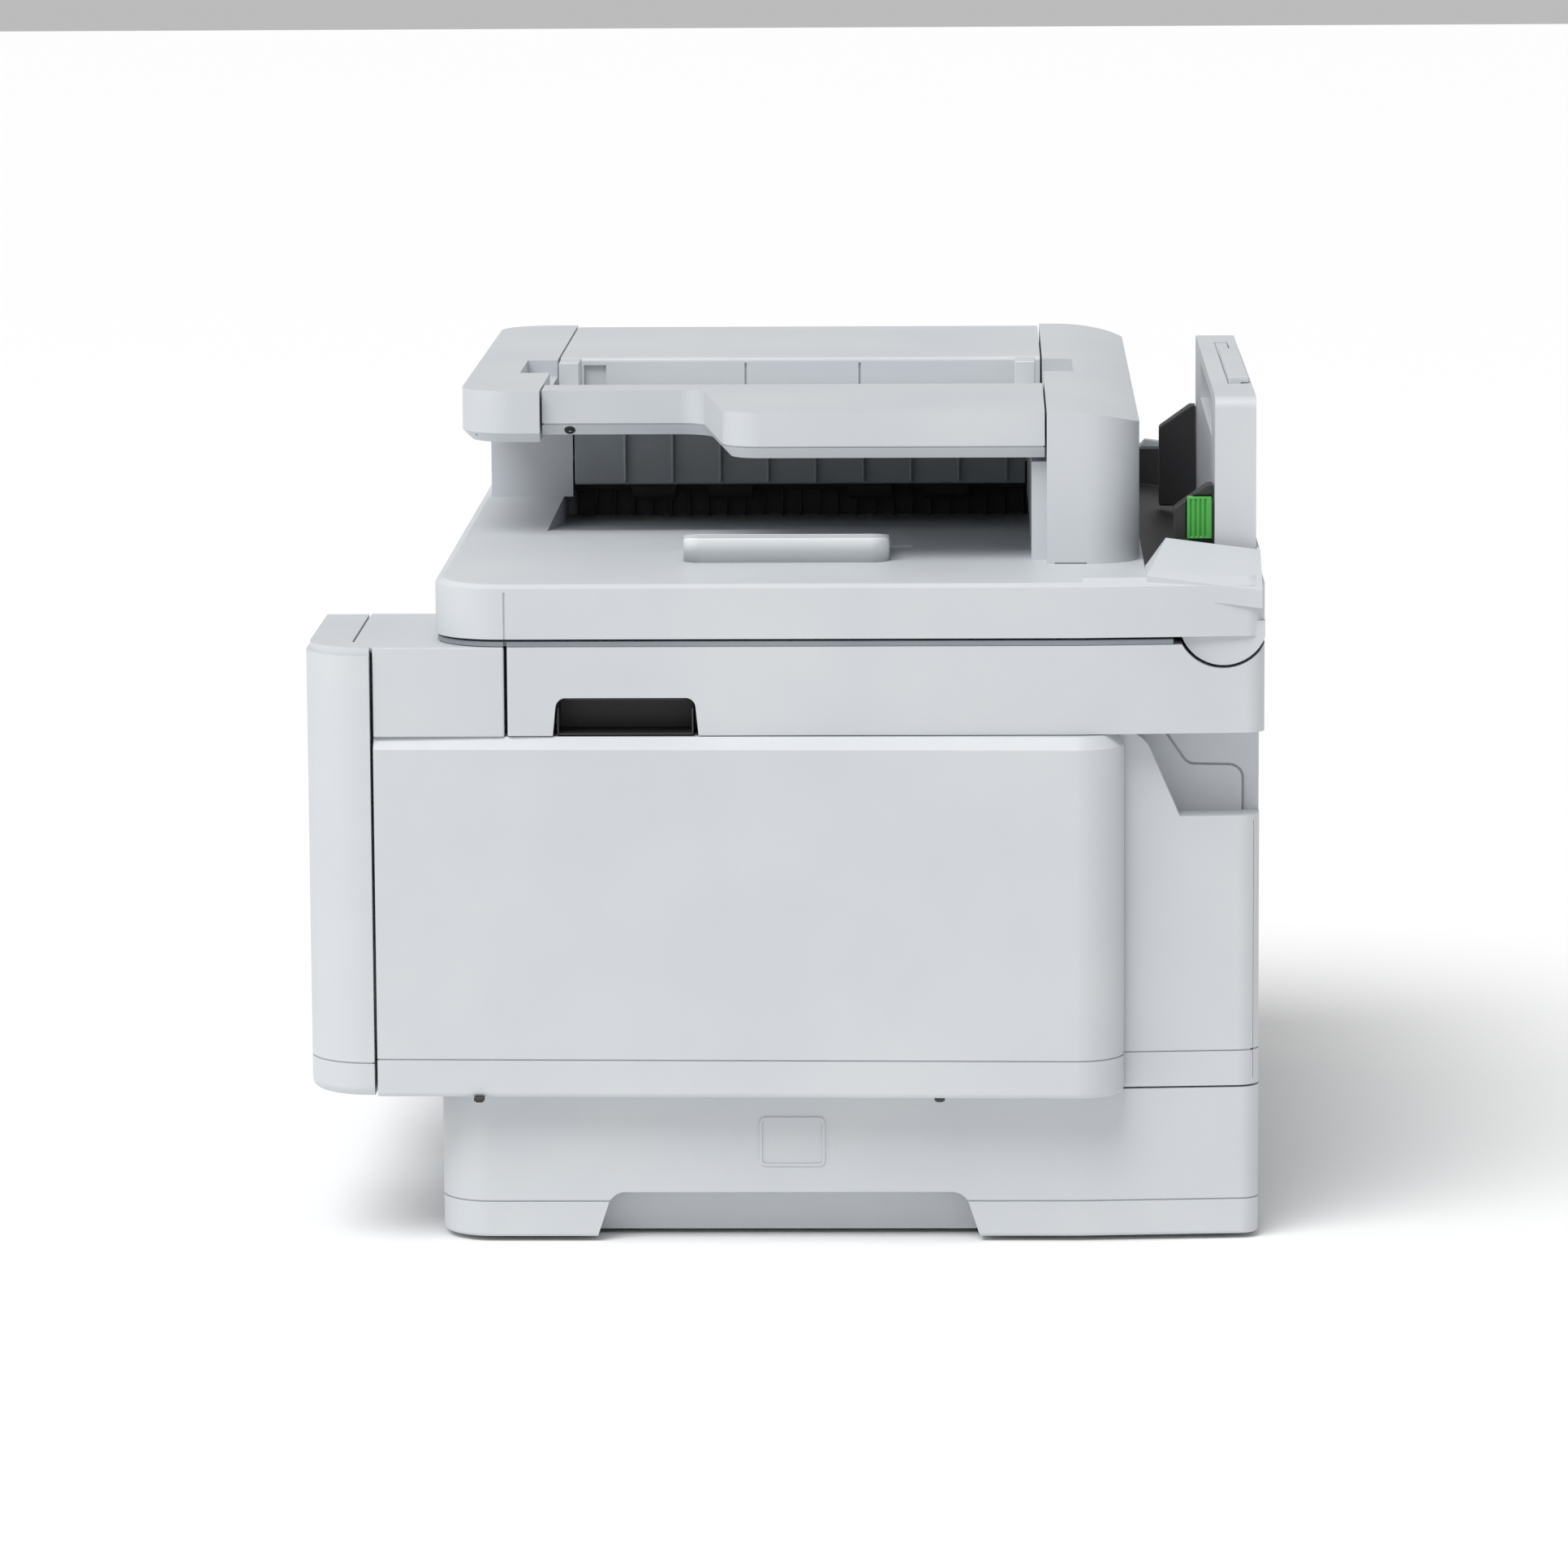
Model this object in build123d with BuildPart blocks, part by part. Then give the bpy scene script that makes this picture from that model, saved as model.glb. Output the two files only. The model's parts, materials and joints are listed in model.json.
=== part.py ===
from build123d import *

# A3 office photocopier: a lower cassette unit, a printing body, a flatbed scanner, a
# document cover with a sheet feeder on it, and a rear feed. Millimetres, +Z up, the
# front towards -Y, origin under the middle of the footprint.

# ---- driving dimensions ------------------------------------------------------------
width = 576
depth = 480
foot_height = 2.5
base_height = 75.5
body_gap = 1
cassette_height = 46
cassette_clear = 2
cassette_rise = 5
deck_rise = 6
engine_height = 74
cassette_pitch = cassette_height + cassette_clear
body_height = cassette_rise + 2 * cassette_pitch + deck_rise + engine_height
scanner_gap = 0.5
scanner_height = 44.5
rim_height = 2.8
lid_gap = 1.2
lid_height = 29.4
adf_height = 76.6
wall = 3
sheet_steel = 2
seam = 1.6
slide_gap = 1
turn_gap = 0.05
groove = 0.8
a3_sheet = 297
feeder_span = 248

# ---- reference planes --------------------------------------------------------------
half = width / 2
trunk_half = half - 24.5
inner_half = trunk_half - 3.5
upper_half = half - 10
front = -depth / 2
rear = depth / 2
shell_rear = rear
trunk_rear = rear - 1.8
door_back = front + 35.4
lid_front = front + 65
scanner_front = front + 102.5
side_cover_rear = rear - 68
housing_front = rear - 75
crease_y = rear - 93
crease_in = 7
base_top = foot_height + base_height
body_bottom = base_top + body_gap
body_top = body_bottom + body_height
scanner_bottom = body_top + scanner_gap
scanner_top = scanner_bottom + scanner_height
rim_top = scanner_top + rim_height
lid_bottom = rim_top + lid_gap
lid_top = lid_bottom + lid_height
adf_top = lid_top + adf_height
parting_z = body_bottom + 17.5

# ---- the door on the right of the front, and the paper bays beside it ---------------
door_left = half - 142
paper_right = door_left - 10
paper_left = -half + 8
bay_right = paper_right + 2
bay_left = -inner_half + sheet_steel
tray_right = paper_right - 6
tray_left = bay_left + 10
bay_back = rear - 58
cassette_low = body_bottom + cassette_rise
deck_low = cassette_low + 2 * cassette_pitch + deck_rise
deck_thick = 4
extension_thick = 3.5
engine_floor = deck_low + deck_thick


def block(x, y, z, mode=Mode.ADD):
    """A box over three (low, high) pairs, added to the part being built."""
    with Locations(((x[0] + x[1]) / 2, (y[0] + y[1]) / 2, (z[0] + z[1]) / 2)):
        Box(x[1] - x[0], y[1] - y[0], z[1] - z[0], mode=mode)


def cut(x, y, z):
    """The same box, taken away."""
    block(x, y, z, Mode.SUBTRACT)


def rod(plane, radius, length, mode=Mode.ADD):
    """A round bar from the plane's origin along its normal."""
    with Locations(plane):
        Cylinder(radius, length, align=(Align.CENTER, Align.CENTER, Align.MIN), mode=mode)


def slab(x, y, z, radii):
    """A box whose four upright corners, from low x and y round anticlockwise, have their own radii."""
    corners = ((x[0], y[0]), (x[1], y[0]), (x[1], y[1]), (x[0], y[1]))
    with BuildPart() as piece:
        with BuildSketch(Plane.XY.offset(z[0])) as plan:
            with BuildLine():
                Polyline(*corners, close=True)
            make_face()
            for corner, radius in zip(corners, radii):
                if radius > 0:
                    spot = plan.vertices().sort_by_distance((corner[0], corner[1], 0))[0]
                    fillet(spot, radius)
        extrude(amount=z[1] - z[0])
    return piece.part


def along_x(x, y, z):
    """A plane at a point, facing +X."""
    return Plane(origin=(x, y, z), x_dir=(0, 1, 0), z_dir=(1, 0, 0))


def along_y(x, y, z):
    """A plane at a point, facing +Y."""
    return Plane(origin=(x, y, z), x_dir=(-1, 0, 0), z_dir=(0, 1, 0))


def along_z(x, y, z):
    """A plane at a point, facing +Z."""
    return Plane(origin=(x, y, z), x_dir=(1, 0, 0), z_dir=(0, 0, 1))


def finish(builder, label):
    """Name the finished piece and write it."""
    builder.part.label = label
    export_step(builder.part, "parts/" + label + ".step")


def plan_outline(half_width, front_y, rear_y, front_radius, rear_radius):
    """Plan shape shared by the stacked housings: the sides turn in a little near the rear."""
    with BuildSketch() as outline:
        with BuildLine():
            Polyline(
                (-half_width, front_y),
                (half_width, front_y),
                (half_width, crease_y),
                (half_width - crease_in, rear_y),
                (crease_in - half_width, rear_y),
                (-half_width, crease_y),
                close=True,
            )
        make_face()
        fillet(outline.vertices().group_by(Axis.Y)[0], front_radius)
        fillet(outline.vertices().group_by(Axis.Y)[-1], rear_radius)
    return outline.sketch


def groove_ring(outline):
    """A thin band just inside an outline, for the parting line round a housing."""
    with BuildSketch() as ring:
        add(outline)
        offset(outline, -groove, mode=Mode.SUBTRACT)
    return ring.sketch


# ---- lower cassette unit -----------------------------------------------------------
base_corner = 26
base_bay_half = trunk_half - 25.5
base_bay_low = foot_height + 7.5
base_bay_high = base_top - 6
base_bay_back = rear - 46
base_outline = plan_outline(trunk_half, lid_front, trunk_rear, base_corner, 10)
base_ring = groove_ring(base_outline)
grip_depth = 20
grip_front = -88
grip_rear = 90
grip_flare = 8
grip_top = 25.5
grip_corner = 9
plaque = (33, 25)
plaque_line = 1.2
plaque_rise = 0.7
plaque_corner = 3
plaque_height = 51.5
plaque_y = 3


def grip_outline():
    """Side profile of the hand hole at the bottom of the side: wider at the floor."""
    with BuildSketch() as grip:
        with BuildLine():
            Polyline(
                (grip_front - grip_flare, foot_height - 1),
                (grip_rear + grip_flare, foot_height - 1),
                (grip_rear, grip_top),
                (grip_front, grip_top),
                close=True,
            )
        make_face()
        fillet(grip.vertices().group_by(Axis.Y)[-1], grip_corner)
    return grip.sketch


grip = grip_outline()
with BuildPart() as base_housing:
    with BuildSketch(Plane.XY.offset(foot_height)):
        add(base_outline)
    extrude(amount=base_height)
    fillet(base_housing.edges().group_by(Axis.Z)[0], 2)
    cut((-base_bay_half, base_bay_half), (lid_front - 1, base_bay_back), (base_bay_low, base_bay_high))
    with BuildSketch(Plane.XY.offset(foot_height + 18)):
        add(base_ring)
    extrude(amount=groove, mode=Mode.SUBTRACT)
    for plane in (Plane.YZ.offset(trunk_half - grip_depth), Plane.YZ.offset(-trunk_half - 1)):
        with BuildSketch(plane):
            add(grip)
        extrude(amount=grip_depth + 1, mode=Mode.SUBTRACT)
    with BuildSketch(Plane.YZ.offset(trunk_half)):
        with Locations((plaque_y, plaque_height)):
            RectangleRounded(plaque[0], plaque[1], plaque_corner)
            RectangleRounded(plaque[0] - 2 * plaque_line, plaque[1] - 2 * plaque_line,
                             plaque_corner - plaque_line, mode=Mode.SUBTRACT)
    extrude(amount=plaque_rise)
finish(base_housing, "base_housing")

foot_radius = 11
foot_inset = 45
with BuildPart() as rubber_feet:
    for x in (foot_inset - trunk_half, trunk_half - foot_inset):
        for y in (lid_front + foot_inset, trunk_rear - foot_inset):
            rod(along_z(x, y, 0), foot_radius, foot_height)
finish(rubber_feet, "rubber_feet")


# ---- paper cassettes ---------------------------------------------------------------
tray_wall = 2.5
panel_grip = (92, 14, 12)


def cassette(number, panel_x, panel_y, panel_z, tray_x, tray_y, tray_z, corner):
    """One paper cassette: a moulded front panel, hollow behind, and the tray it pulls out."""
    middle = (panel_x[0] + panel_x[1]) / 2
    with BuildPart() as panel:
        block(panel_x, panel_y, panel_z)
        left_edge = panel.edges().filter_by(Axis.Z).group_by(Axis.X)[0].sort_by(Axis.Y)[0]
        if corner > 0:
            fillet(left_edge, corner)
        front_edges = panel.faces().sort_by(Axis.Y)[0].edges().filter_by(Axis.X)
        fillet(front_edges, 2)
        cut(
            (middle - panel_grip[0] / 2, middle + panel_grip[0] / 2),
            (panel_y[0] - 1, panel_y[0] + panel_grip[2]),
            (panel_z[0] - 1, panel_z[0] + panel_grip[1]),
        )
    finish(panel, "cassette_front_" + number)
    with BuildPart() as tray:
        block(tray_x, tray_y, tray_z)
        cut(
            (tray_x[0] + tray_wall, tray_x[1] - tray_wall),
            (tray_y[0] + tray_wall, tray_y[1] - tray_wall),
            (tray_z[0] + tray_wall, tray_z[1] + 1),
        )
    finish(tray, "cassette_tray_" + number)


for index, label in ((1, "1"), (0, "2")):
    low = cassette_low + index * cassette_pitch
    cassette(
        label,
        (paper_left, paper_right),
        (front + 2, door_back - seam),
        (low, low + cassette_height),
        (tray_left, tray_right),
        (door_back - seam, bay_back),
        (low + 2, low + cassette_height - 4),
        30,
    )
cassette(
    "3",
    (slide_gap - base_bay_half, base_bay_half - slide_gap),
    (lid_front, lid_front + 12),
    (base_bay_low + slide_gap, base_bay_high - slide_gap),
    (slide_gap + 3 - base_bay_half, base_bay_half - 3 - slide_gap),
    (lid_front + 12, base_bay_back - 4),
    (base_bay_low + 2, base_bay_high - 8),
    0,
)

# ---- chassis -----------------------------------------------------------------------
plate_low = base_top
plate_high = body_bottom + 3
rail_y = rear - 120
rail_thick = 4
platen_front = rail_y - 62
platen_rear = rail_y - 16
feed_roller_y = rail_y - 6
feed_roller_z = engine_floor - 2
feed_roller_radius = 8
eject_roller_y = platen_front - 10
eject_roller_z = engine_floor + 4
eject_roller_radius = feed_roller_radius
shaft_radius = 3

frame_front = lid_front + 4
frame_back = housing_front - 1
with BuildPart() as chassis:
    block((-inner_half, inner_half), (frame_front, frame_back), (plate_low, plate_high))
    for x in ((-inner_half, sheet_steel - inner_half), (inner_half - sheet_steel, inner_half)):
        block(x, (frame_front, frame_back), (plate_high, body_top - 4))
    for y, z in ((feed_roller_y, feed_roller_z), (eject_roller_y, eject_roller_z)):
        rod(along_x(-inner_half - 1, y, z), shaft_radius + turn_gap, 5, Mode.SUBTRACT)
finish(chassis, "chassis")

# the centre plate also carries the door's hinge lugs
centre_x = (bay_right + 0.5, bay_right + 4)
pin_x = door_left + 3.5
pin_y = front + 5
pin_radius = 1.5
knuckle_radius = 3.5
lug_height = 14
lug_levels = (body_bottom + 30, body_bottom + 150)
step_z = engine_floor + 8
with BuildPart() as centre_frame:
    block(centre_x, (door_back, rail_y + 14), (plate_high, step_z))
    block(centre_x, (door_back, platen_front - 20), (plate_high, body_top - 9))
    rod(along_x(centre_x[0] - 1, feed_roller_y, feed_roller_z), shaft_radius + turn_gap, 6, Mode.SUBTRACT)
    rod(along_x(centre_x[0] - 1, eject_roller_y, eject_roller_z), shaft_radius + turn_gap, 6, Mode.SUBTRACT)
    for level in lug_levels:
        block(centre_x, (pin_y - 3, door_back + 1), (level, level + lug_height))
        block((centre_x[0], pin_x), (pin_y - 3, pin_y + 3), (level, level + lug_height))
        rod(along_z(pin_x, pin_y, level), knuckle_radius, lug_height)
        rod(along_z(pin_x, pin_y, level - 1), pin_radius, lug_height + 2, Mode.SUBTRACT)
finish(centre_frame, "centre_frame")

pin_reach = 4
with BuildPart() as door_hinge_pins:
    for level in lug_levels:
        rod(along_z(pin_x, pin_y, level - pin_reach), pin_radius, lug_height + 2 * pin_reach)
finish(door_hinge_pins, "door_hinge_pins")

# ---- side covers -------------------------------------------------------------------
cover_front_x = half - 8
cover_inner = trunk_half + 0.5
cover_round = half - cover_inner
cover_turn_y = side_cover_rear - cover_round - 2


def side_cover_outline(front_y):
    """Plan of the bulging right cover: its side widens to the rear, then rounds in."""
    with BuildSketch() as outline:
        with BuildLine():
            Line((cover_inner, front_y), (cover_front_x, front_y))
            Line((cover_front_x, front_y), (half, cover_turn_y))
            JernArc(start=(half, cover_turn_y), tangent=(0, 1), radius=cover_round, arc_size=90)
            Line((cover_inner, cover_turn_y + cover_round), (cover_inner, front_y))
        make_face()
    return outline.sketch


cover_ledge = 5
cover_inset = 6
cover_drop = 1.3
cover_low_z = body_bottom - cover_drop


def side_cover(front_y):
    """The right cover as a shell, open towards the frame."""
    outline = side_cover_outline(front_y)
    ring = groove_ring(outline)
    with BuildPart() as cover:
        with BuildSketch(Plane.XY.offset(cover_low_z)):
            add(outline)
        extrude(amount=body_height + cover_drop)
        top = cover.faces().sort_by(Axis.Z)[-1]
        outer_edges = top.edges().sort_by(Axis.X)[1:]
        chamfer(outer_edges.sort_by(Axis.Y)[1:], length=cover_ledge, length2=cover_inset, reference=top)
        bottom = cover.faces().sort_by(Axis.Z)[0]
        fillet(bottom.edges().sort_by(Axis.X)[1:].sort_by(Axis.Y)[1:], 2.5)
        with BuildSketch(Plane.XY.offset(parting_z)):
            add(ring)
        extrude(amount=groove, mode=Mode.SUBTRACT)
        cut(
            (cover_inner - 1, cover_front_x - wall - 1),
            (front_y + wall, cover_turn_y),
            (cover_low_z + wall, body_top - wall),
        )
    return cover.part


with BuildPart() as right_side_cover:
    add(side_cover(door_back))
finish(right_side_cover, "right_side_cover")

with BuildPart() as left_side_cover:
    add(mirror(side_cover(lid_front), about=Plane.YZ, mode=Mode.PRIVATE))
finish(left_side_cover, "left_side_cover")

# ---- front surround of the paper bays ----------------------------------------------
surround_top = body_top - 25
column_x = (4 - half, 2 - inner_half)
bar_low = cassette_low + 2 * cassette_pitch - 1
bar_high = bar_low + 2.5
with BuildPart() as front_surround:
    block(column_x, (door_back, lid_front - 0.2), (body_bottom, surround_top))
    corner_edge = front_surround.edges().filter_by(Axis.Z).group_by(Axis.X)[0].sort_by(Axis.Y)[0]
    fillet(corner_edge, 12)
    block((column_x[1], bay_right), (door_back, lid_front - 0.2), (body_bottom, body_bottom + 3))
    block((column_x[1], bay_right), (door_back, lid_front - 0.2), (bar_low, bar_high))
finish(front_surround, "front_surround")

# ---- fixed panel over the front ----------------------------------------------------
panel_axis_y = lid_front - 9
panel_axis_z = body_top + 10
panel_left = -16
panel_right = door_left - 8
panel_shaft_radius = 2.5
block_left = door_left - 2
lip_front = front + 24.3
lip_corner_x = half - 34
lip_end_x = upper_half - 3
lip_gap = 0.8
with BuildPart() as front_top_cover:
    with BuildSketch(Plane.XY.offset(body_top)):
        with BuildLine():
            Polyline(
                (block_left, door_back),
                (upper_half, door_back),
                (upper_half, scanner_front - seam),
                (-upper_half, scanner_front - seam),
                (-upper_half, lid_front),
                (block_left, lid_front),
                close=True,
            )
        make_face()
    extrude(amount=scanner_top - body_top)
    cut((4 - upper_half, upper_half - wall), (lid_front + wall, scanner_front - seam - wall),
        (body_top - 1, scanner_top - wall))
    cut((block_left + wall, upper_half - wall), (door_back + wall, lid_front + wall + 1),
        (body_top - 1, scanner_top - wall))
    with BuildSketch(Plane.XY.offset(scanner_top - wall)):
        with BuildLine():
            Polyline(
                (block_left, lip_front),
                (lip_corner_x, lip_front),
                (lip_end_x, door_back),
                (lip_end_x, door_back + wall),
                (block_left, door_back + wall),
                close=True,
            )
        make_face()
    extrude(amount=wall)
    block((panel_left - 14, panel_left - 2), (panel_axis_y - 5, lid_front + 1),
          (panel_axis_z - 5, panel_axis_z + 5))
    rod(along_x(panel_left - 15, panel_axis_y, panel_axis_z), panel_shaft_radius, 14, Mode.SUBTRACT)
    rod(along_x(block_left - 1, panel_axis_y, panel_axis_z), panel_shaft_radius, wall + 2, Mode.SUBTRACT)
finish(front_top_cover, "front_top_cover")

with BuildPart() as panel_shaft:
    rod(along_x(panel_left - 14, panel_axis_y, panel_axis_z), panel_shaft_radius,
        block_left + wall - panel_left + 14)
finish(panel_shaft, "panel_shaft")

# ---- ink door ----------------------------------------------------------------------
door_corner = 40
door_right = cover_front_x - 0.5
door_top = scanner_top
door_low = body_bottom - 1.2
door_ledge = body_top - 4
door_inset = 1.8
door_skin = 8
door_round = door_corner - door_skin


def door_outline(inset):
    """Plan of the door: flat front, large round corner at its free edge."""
    with BuildSketch() as outline:
        with BuildLine():
            Polyline(
                (door_left, front + inset),
                (door_right - inset, front + inset),
                (door_right - inset, door_back - seam),
                (door_left, door_back - seam),
                close=True,
            )
        make_face()
        fillet(outline.vertices().group_by(Axis.Y)[0].sort_by(Axis.X)[-1:], door_round)
    return outline.sketch


door_lower = door_outline(0)
door_upper = door_outline(door_inset)
door_ring = groove_ring(door_lower)
with BuildPart() as ink_door:
    with BuildSketch(Plane.XY.offset(door_low)):
        add(door_lower)
    extrude(amount=door_ledge - door_low)
    foot_face = ink_door.faces().sort_by(Axis.Z)[0]
    fillet(foot_face.edges().sort_by(Axis.Y)[:-1].sort_by(Axis.X)[1:], 5)
    with BuildSketch(Plane.XY.offset(door_ledge)) as ledge_low:
        add(door_lower)
    with BuildSketch(Plane.XY.offset(door_ledge + 4)) as ledge_high:
        add(door_upper)
    loft(sections=[ledge_low.sketch, ledge_high.sketch])
    with BuildSketch(Plane.XY.offset(door_ledge + 4)):
        add(door_upper)
    extrude(amount=door_top - door_ledge - 4)
    with BuildSketch(Plane.XY.offset(parting_z - 2)):
        add(door_ring)
    extrude(amount=groove, mode=Mode.SUBTRACT)
    add(slab((door_left + 13, door_right - door_skin), (front + door_skin, door_back),
             (door_low + wall, door_top - wall - 1),
             (0, door_round - door_skin, 0, 0)), mode=Mode.SUBTRACT)
    with BuildSketch(Plane.XY.offset(door_top - wall - 1)):
        with BuildLine():
            Polyline(
                (door_left - 1, lip_front - lip_gap),
                (lip_corner_x + lip_gap / 2, lip_front - lip_gap),
                (lip_end_x + 2 * lip_gap, door_back - lip_gap),
                (lip_end_x + 2 * lip_gap, door_back),
                (door_left - 1, door_back),
                close=True,
            )
        make_face()
    extrude(amount=wall + 2, mode=Mode.SUBTRACT)
    for level in lug_levels:
        cut((door_left - 1, pin_x + knuckle_radius + 1), (front - 1, pin_y + knuckle_radius + 1),
            (level - 0.6, level + lug_height + 0.6))
        rod(along_z(pin_x, pin_y, level - pin_reach - 0.5), pin_radius + turn_gap,
            lug_height + 2 * pin_reach + 1, Mode.SUBTRACT)
finish(ink_door, "ink_door")

# ---- ink supply --------------------------------------------------------------------
ink_pitch = 26
ink_slot = 23.6
cradle_left = centre_x[1] + 4
cradle_back = front + 200
cradle_front = front + 52
cradle_low = plate_high
cradle_high = plate_high + 88
ink_low = cradle_low + 8
ink_tanks = 4
cradle_wall = 2.4
cradle_rear_wall = 12
cradle_roof = 5
ink_side_gap = 0.8
ink_proud = 6
ink_rear_gap = cradle_rear_wall + 2
ink_top_gap = cradle_roof + 3
with BuildPart() as ink_cradle:
    block((cradle_left, cradle_left + ink_tanks * ink_pitch + cradle_wall), (cradle_front, cradle_back),
          (cradle_low, cradle_high))
    for slot in range(ink_tanks):
        x = cradle_left + cradle_wall + slot * ink_pitch
        cut((x, x + ink_slot), (cradle_front - 1, cradle_back - cradle_rear_wall),
            (ink_low, cradle_high - cradle_roof))
finish(ink_cradle, "ink_cradle")

with BuildPart() as ink_cartridges:
    for slot in range(ink_tanks):
        x = cradle_left + cradle_wall + slot * ink_pitch
        block((x + ink_side_gap, x + ink_slot - ink_side_gap),
              (cradle_front - ink_proud, cradle_back - ink_rear_gap), (ink_low, cradle_high - ink_top_gap))
finish(ink_cartridges, "ink_cartridges")

# ---- output deck and its pull-out support ------------------------------------------
with BuildPart() as output_deck:
    block((bay_left, bay_right), (lid_front + 2, eject_roller_y - eject_roller_radius - 2),
          (deck_low, deck_low + deck_thick))
    for x in range(-200, 101, 50):
        block((x, x + 3), (lid_front + 2, eject_roller_y - eject_roller_radius - 2),
              (deck_low + deck_thick, deck_low + deck_thick + 1.5))
finish(output_deck, "output_deck")

extension_low = bar_high + 0.3
with BuildPart() as output_extension:
    block((bay_left + 60, bay_right - 60), (door_back - 6, eject_roller_y - 20),
          (extension_low, extension_low + extension_thick))
    fillet(output_extension.edges().filter_by(Axis.Z).group_by(Axis.Y)[0], 18)
finish(output_extension, "output_extension")

# ---- printing engine ---------------------------------------------------------------
with BuildPart() as feed_roller:
    rod(along_x(-inner_half - 0.5, feed_roller_y, feed_roller_z), shaft_radius,
        centre_x[1] + inner_half + 1)
    rod(along_x(bay_left + 6, feed_roller_y, feed_roller_z), feed_roller_radius,
        bay_right - bay_left - 12)
finish(feed_roller, "feed_roller")

with BuildPart() as eject_roller:
    rod(along_x(-inner_half - 0.5, eject_roller_y, eject_roller_z), shaft_radius,
        centre_x[1] + inner_half + 1)
    for x in range(-230, 120, 40):
        rod(along_x(x, eject_roller_y, eject_roller_z), eject_roller_radius, 14)
finish(eject_roller, "eject_roller")

platen_high = engine_floor + 8
with BuildPart() as platen:
    block((bay_left + 2, bay_right - 1), (platen_front, platen_rear), (platen_high - 4, platen_high))
    for x in range(-220, 121, 34):
        block((x, x + 4), (platen_front + 4, platen_rear - 4), (platen_high, platen_high + 1.2))
finish(platen, "platen")

with BuildPart() as carriage_rail:
    block((bay_left, inner_half - sheet_steel), (rail_y, rail_y + rail_thick), (step_z + 2, body_top - 10))
finish(carriage_rail, "carriage_rail")

belt_z = engine_floor + 32
belt_x = (bay_left + 14, inner_half - 24)
belt_y = rail_y + rail_thick + 3
belt_width = 6
belt_loop = 14
belt_thick = 1.5
with BuildPart() as drive_belt:
    block(belt_x, (belt_y, belt_y + belt_width), (belt_z, belt_z + belt_loop))
    cut((belt_x[0] + 2, belt_x[1] - 2), (belt_y - 1, belt_y + belt_width + 1),
        (belt_z + belt_thick, belt_z + belt_loop - belt_thick))
finish(drive_belt, "drive_belt")

motor_radius = 17
motor_length = 28
motor_x = belt_x[0] + 12
pulley_length = belt_width + 2
with BuildPart() as carriage_motor:
    rod(along_y(motor_x, belt_y + pulley_length, belt_z + belt_loop / 2), motor_radius, motor_length)
    rod(along_y(motor_x, belt_y, belt_z + belt_loop / 2), belt_loop / 2 - belt_thick, pulley_length)
finish(carriage_motor, "carriage_motor")

carriage_right = belt_x[1]
carriage_width = 70
with BuildPart() as print_carriage:
    block((carriage_right - carriage_width, carriage_right), (platen_front + 2, rail_y - 0.5),
          (platen_high + 3, platen_high + 40))
    fillet(print_carriage.edges().filter_by(Axis.Z), 3)
finish(print_carriage, "print_carriage")

with BuildPart() as capping_station:
    block((carriage_right - carriage_width, carriage_right), (platen_front + 2, rail_y - 6),
          (engine_floor - 8, platen_high))
    block((carriage_right - carriage_width + 8, carriage_right - 8), (platen_front + 8, rail_y - 12),
          (platen_high, platen_high + 2))
finish(capping_station, "capping_station")

supply_x = (centre_x[1] + 6, centre_x[1] + 92)
with BuildPart() as power_supply:
    block(supply_x, (cradle_back + 12, rail_y - 4), (plate_high, plate_high + 64))
finish(power_supply, "power_supply")

board_gap = 8
board_x = inner_half - sheet_steel - board_gap
board_y = (cradle_back + 20, rail_y + 30)
board_z = (plate_high + 6, plate_high + 92)
board_thick = 1.6
chip_thick = 3
chip_size = 28
chip_y = cradle_back + 50
chip_z = plate_high + 40
post_inset = 6
post_radius = 3
with BuildPart() as main_board:
    block((board_x, board_x + board_thick), board_y, board_z)
    block((board_x - chip_thick, board_x), (chip_y, chip_y + chip_size), (chip_z, chip_z + chip_size))
    for y in (board_y[0] + post_inset, board_y[1] - post_inset):
        for z in (board_z[0] + post_inset, board_z[1] - post_inset):
            rod(along_x(board_x + board_thick, y, z), post_radius, board_gap - board_thick)
finish(main_board, "main_board")

# ---- rear housing ------------------------------------------------------------------
recess_x = trunk_half - 26
recess_low = body_top - 43.5
recess_front = rear - 66
recess_back = rear - 42
recess_step = 1.2
recess_step_high = 17
cover_line_wide = 1.3
cover_line_deep = 2
cover_line = (
    (rear - 52, body_top + 1),
    (rear - 37.5, body_top - 20),
    (rear - 9.8, body_top - 20.5),
    (rear - 9.8, recess_low),
)
lift_x = (-150, 150)
lift_y = rear - 6
lift_z = body_top - 14
lift_pin_radius = 2
lift_arm_radius = 5
jam_x = (-170, 130)
jam_z = (body_bottom + 30, body_bottom + 130)
jam_pin_radius = 1.3
jam_thick = 3
jam_y = trunk_rear - jam_thick / 2
rear_outline = plan_outline(trunk_half, crease_y - 60, trunk_rear, 1, 12)
rear_ring = groove_ring(rear_outline)
inlet_x = (-235, -205)
inlet_z = (body_bottom + 12, body_bottom + 36)
port_x = (170, 235)
port_z = (body_bottom + 20, body_bottom + 60)
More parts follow.
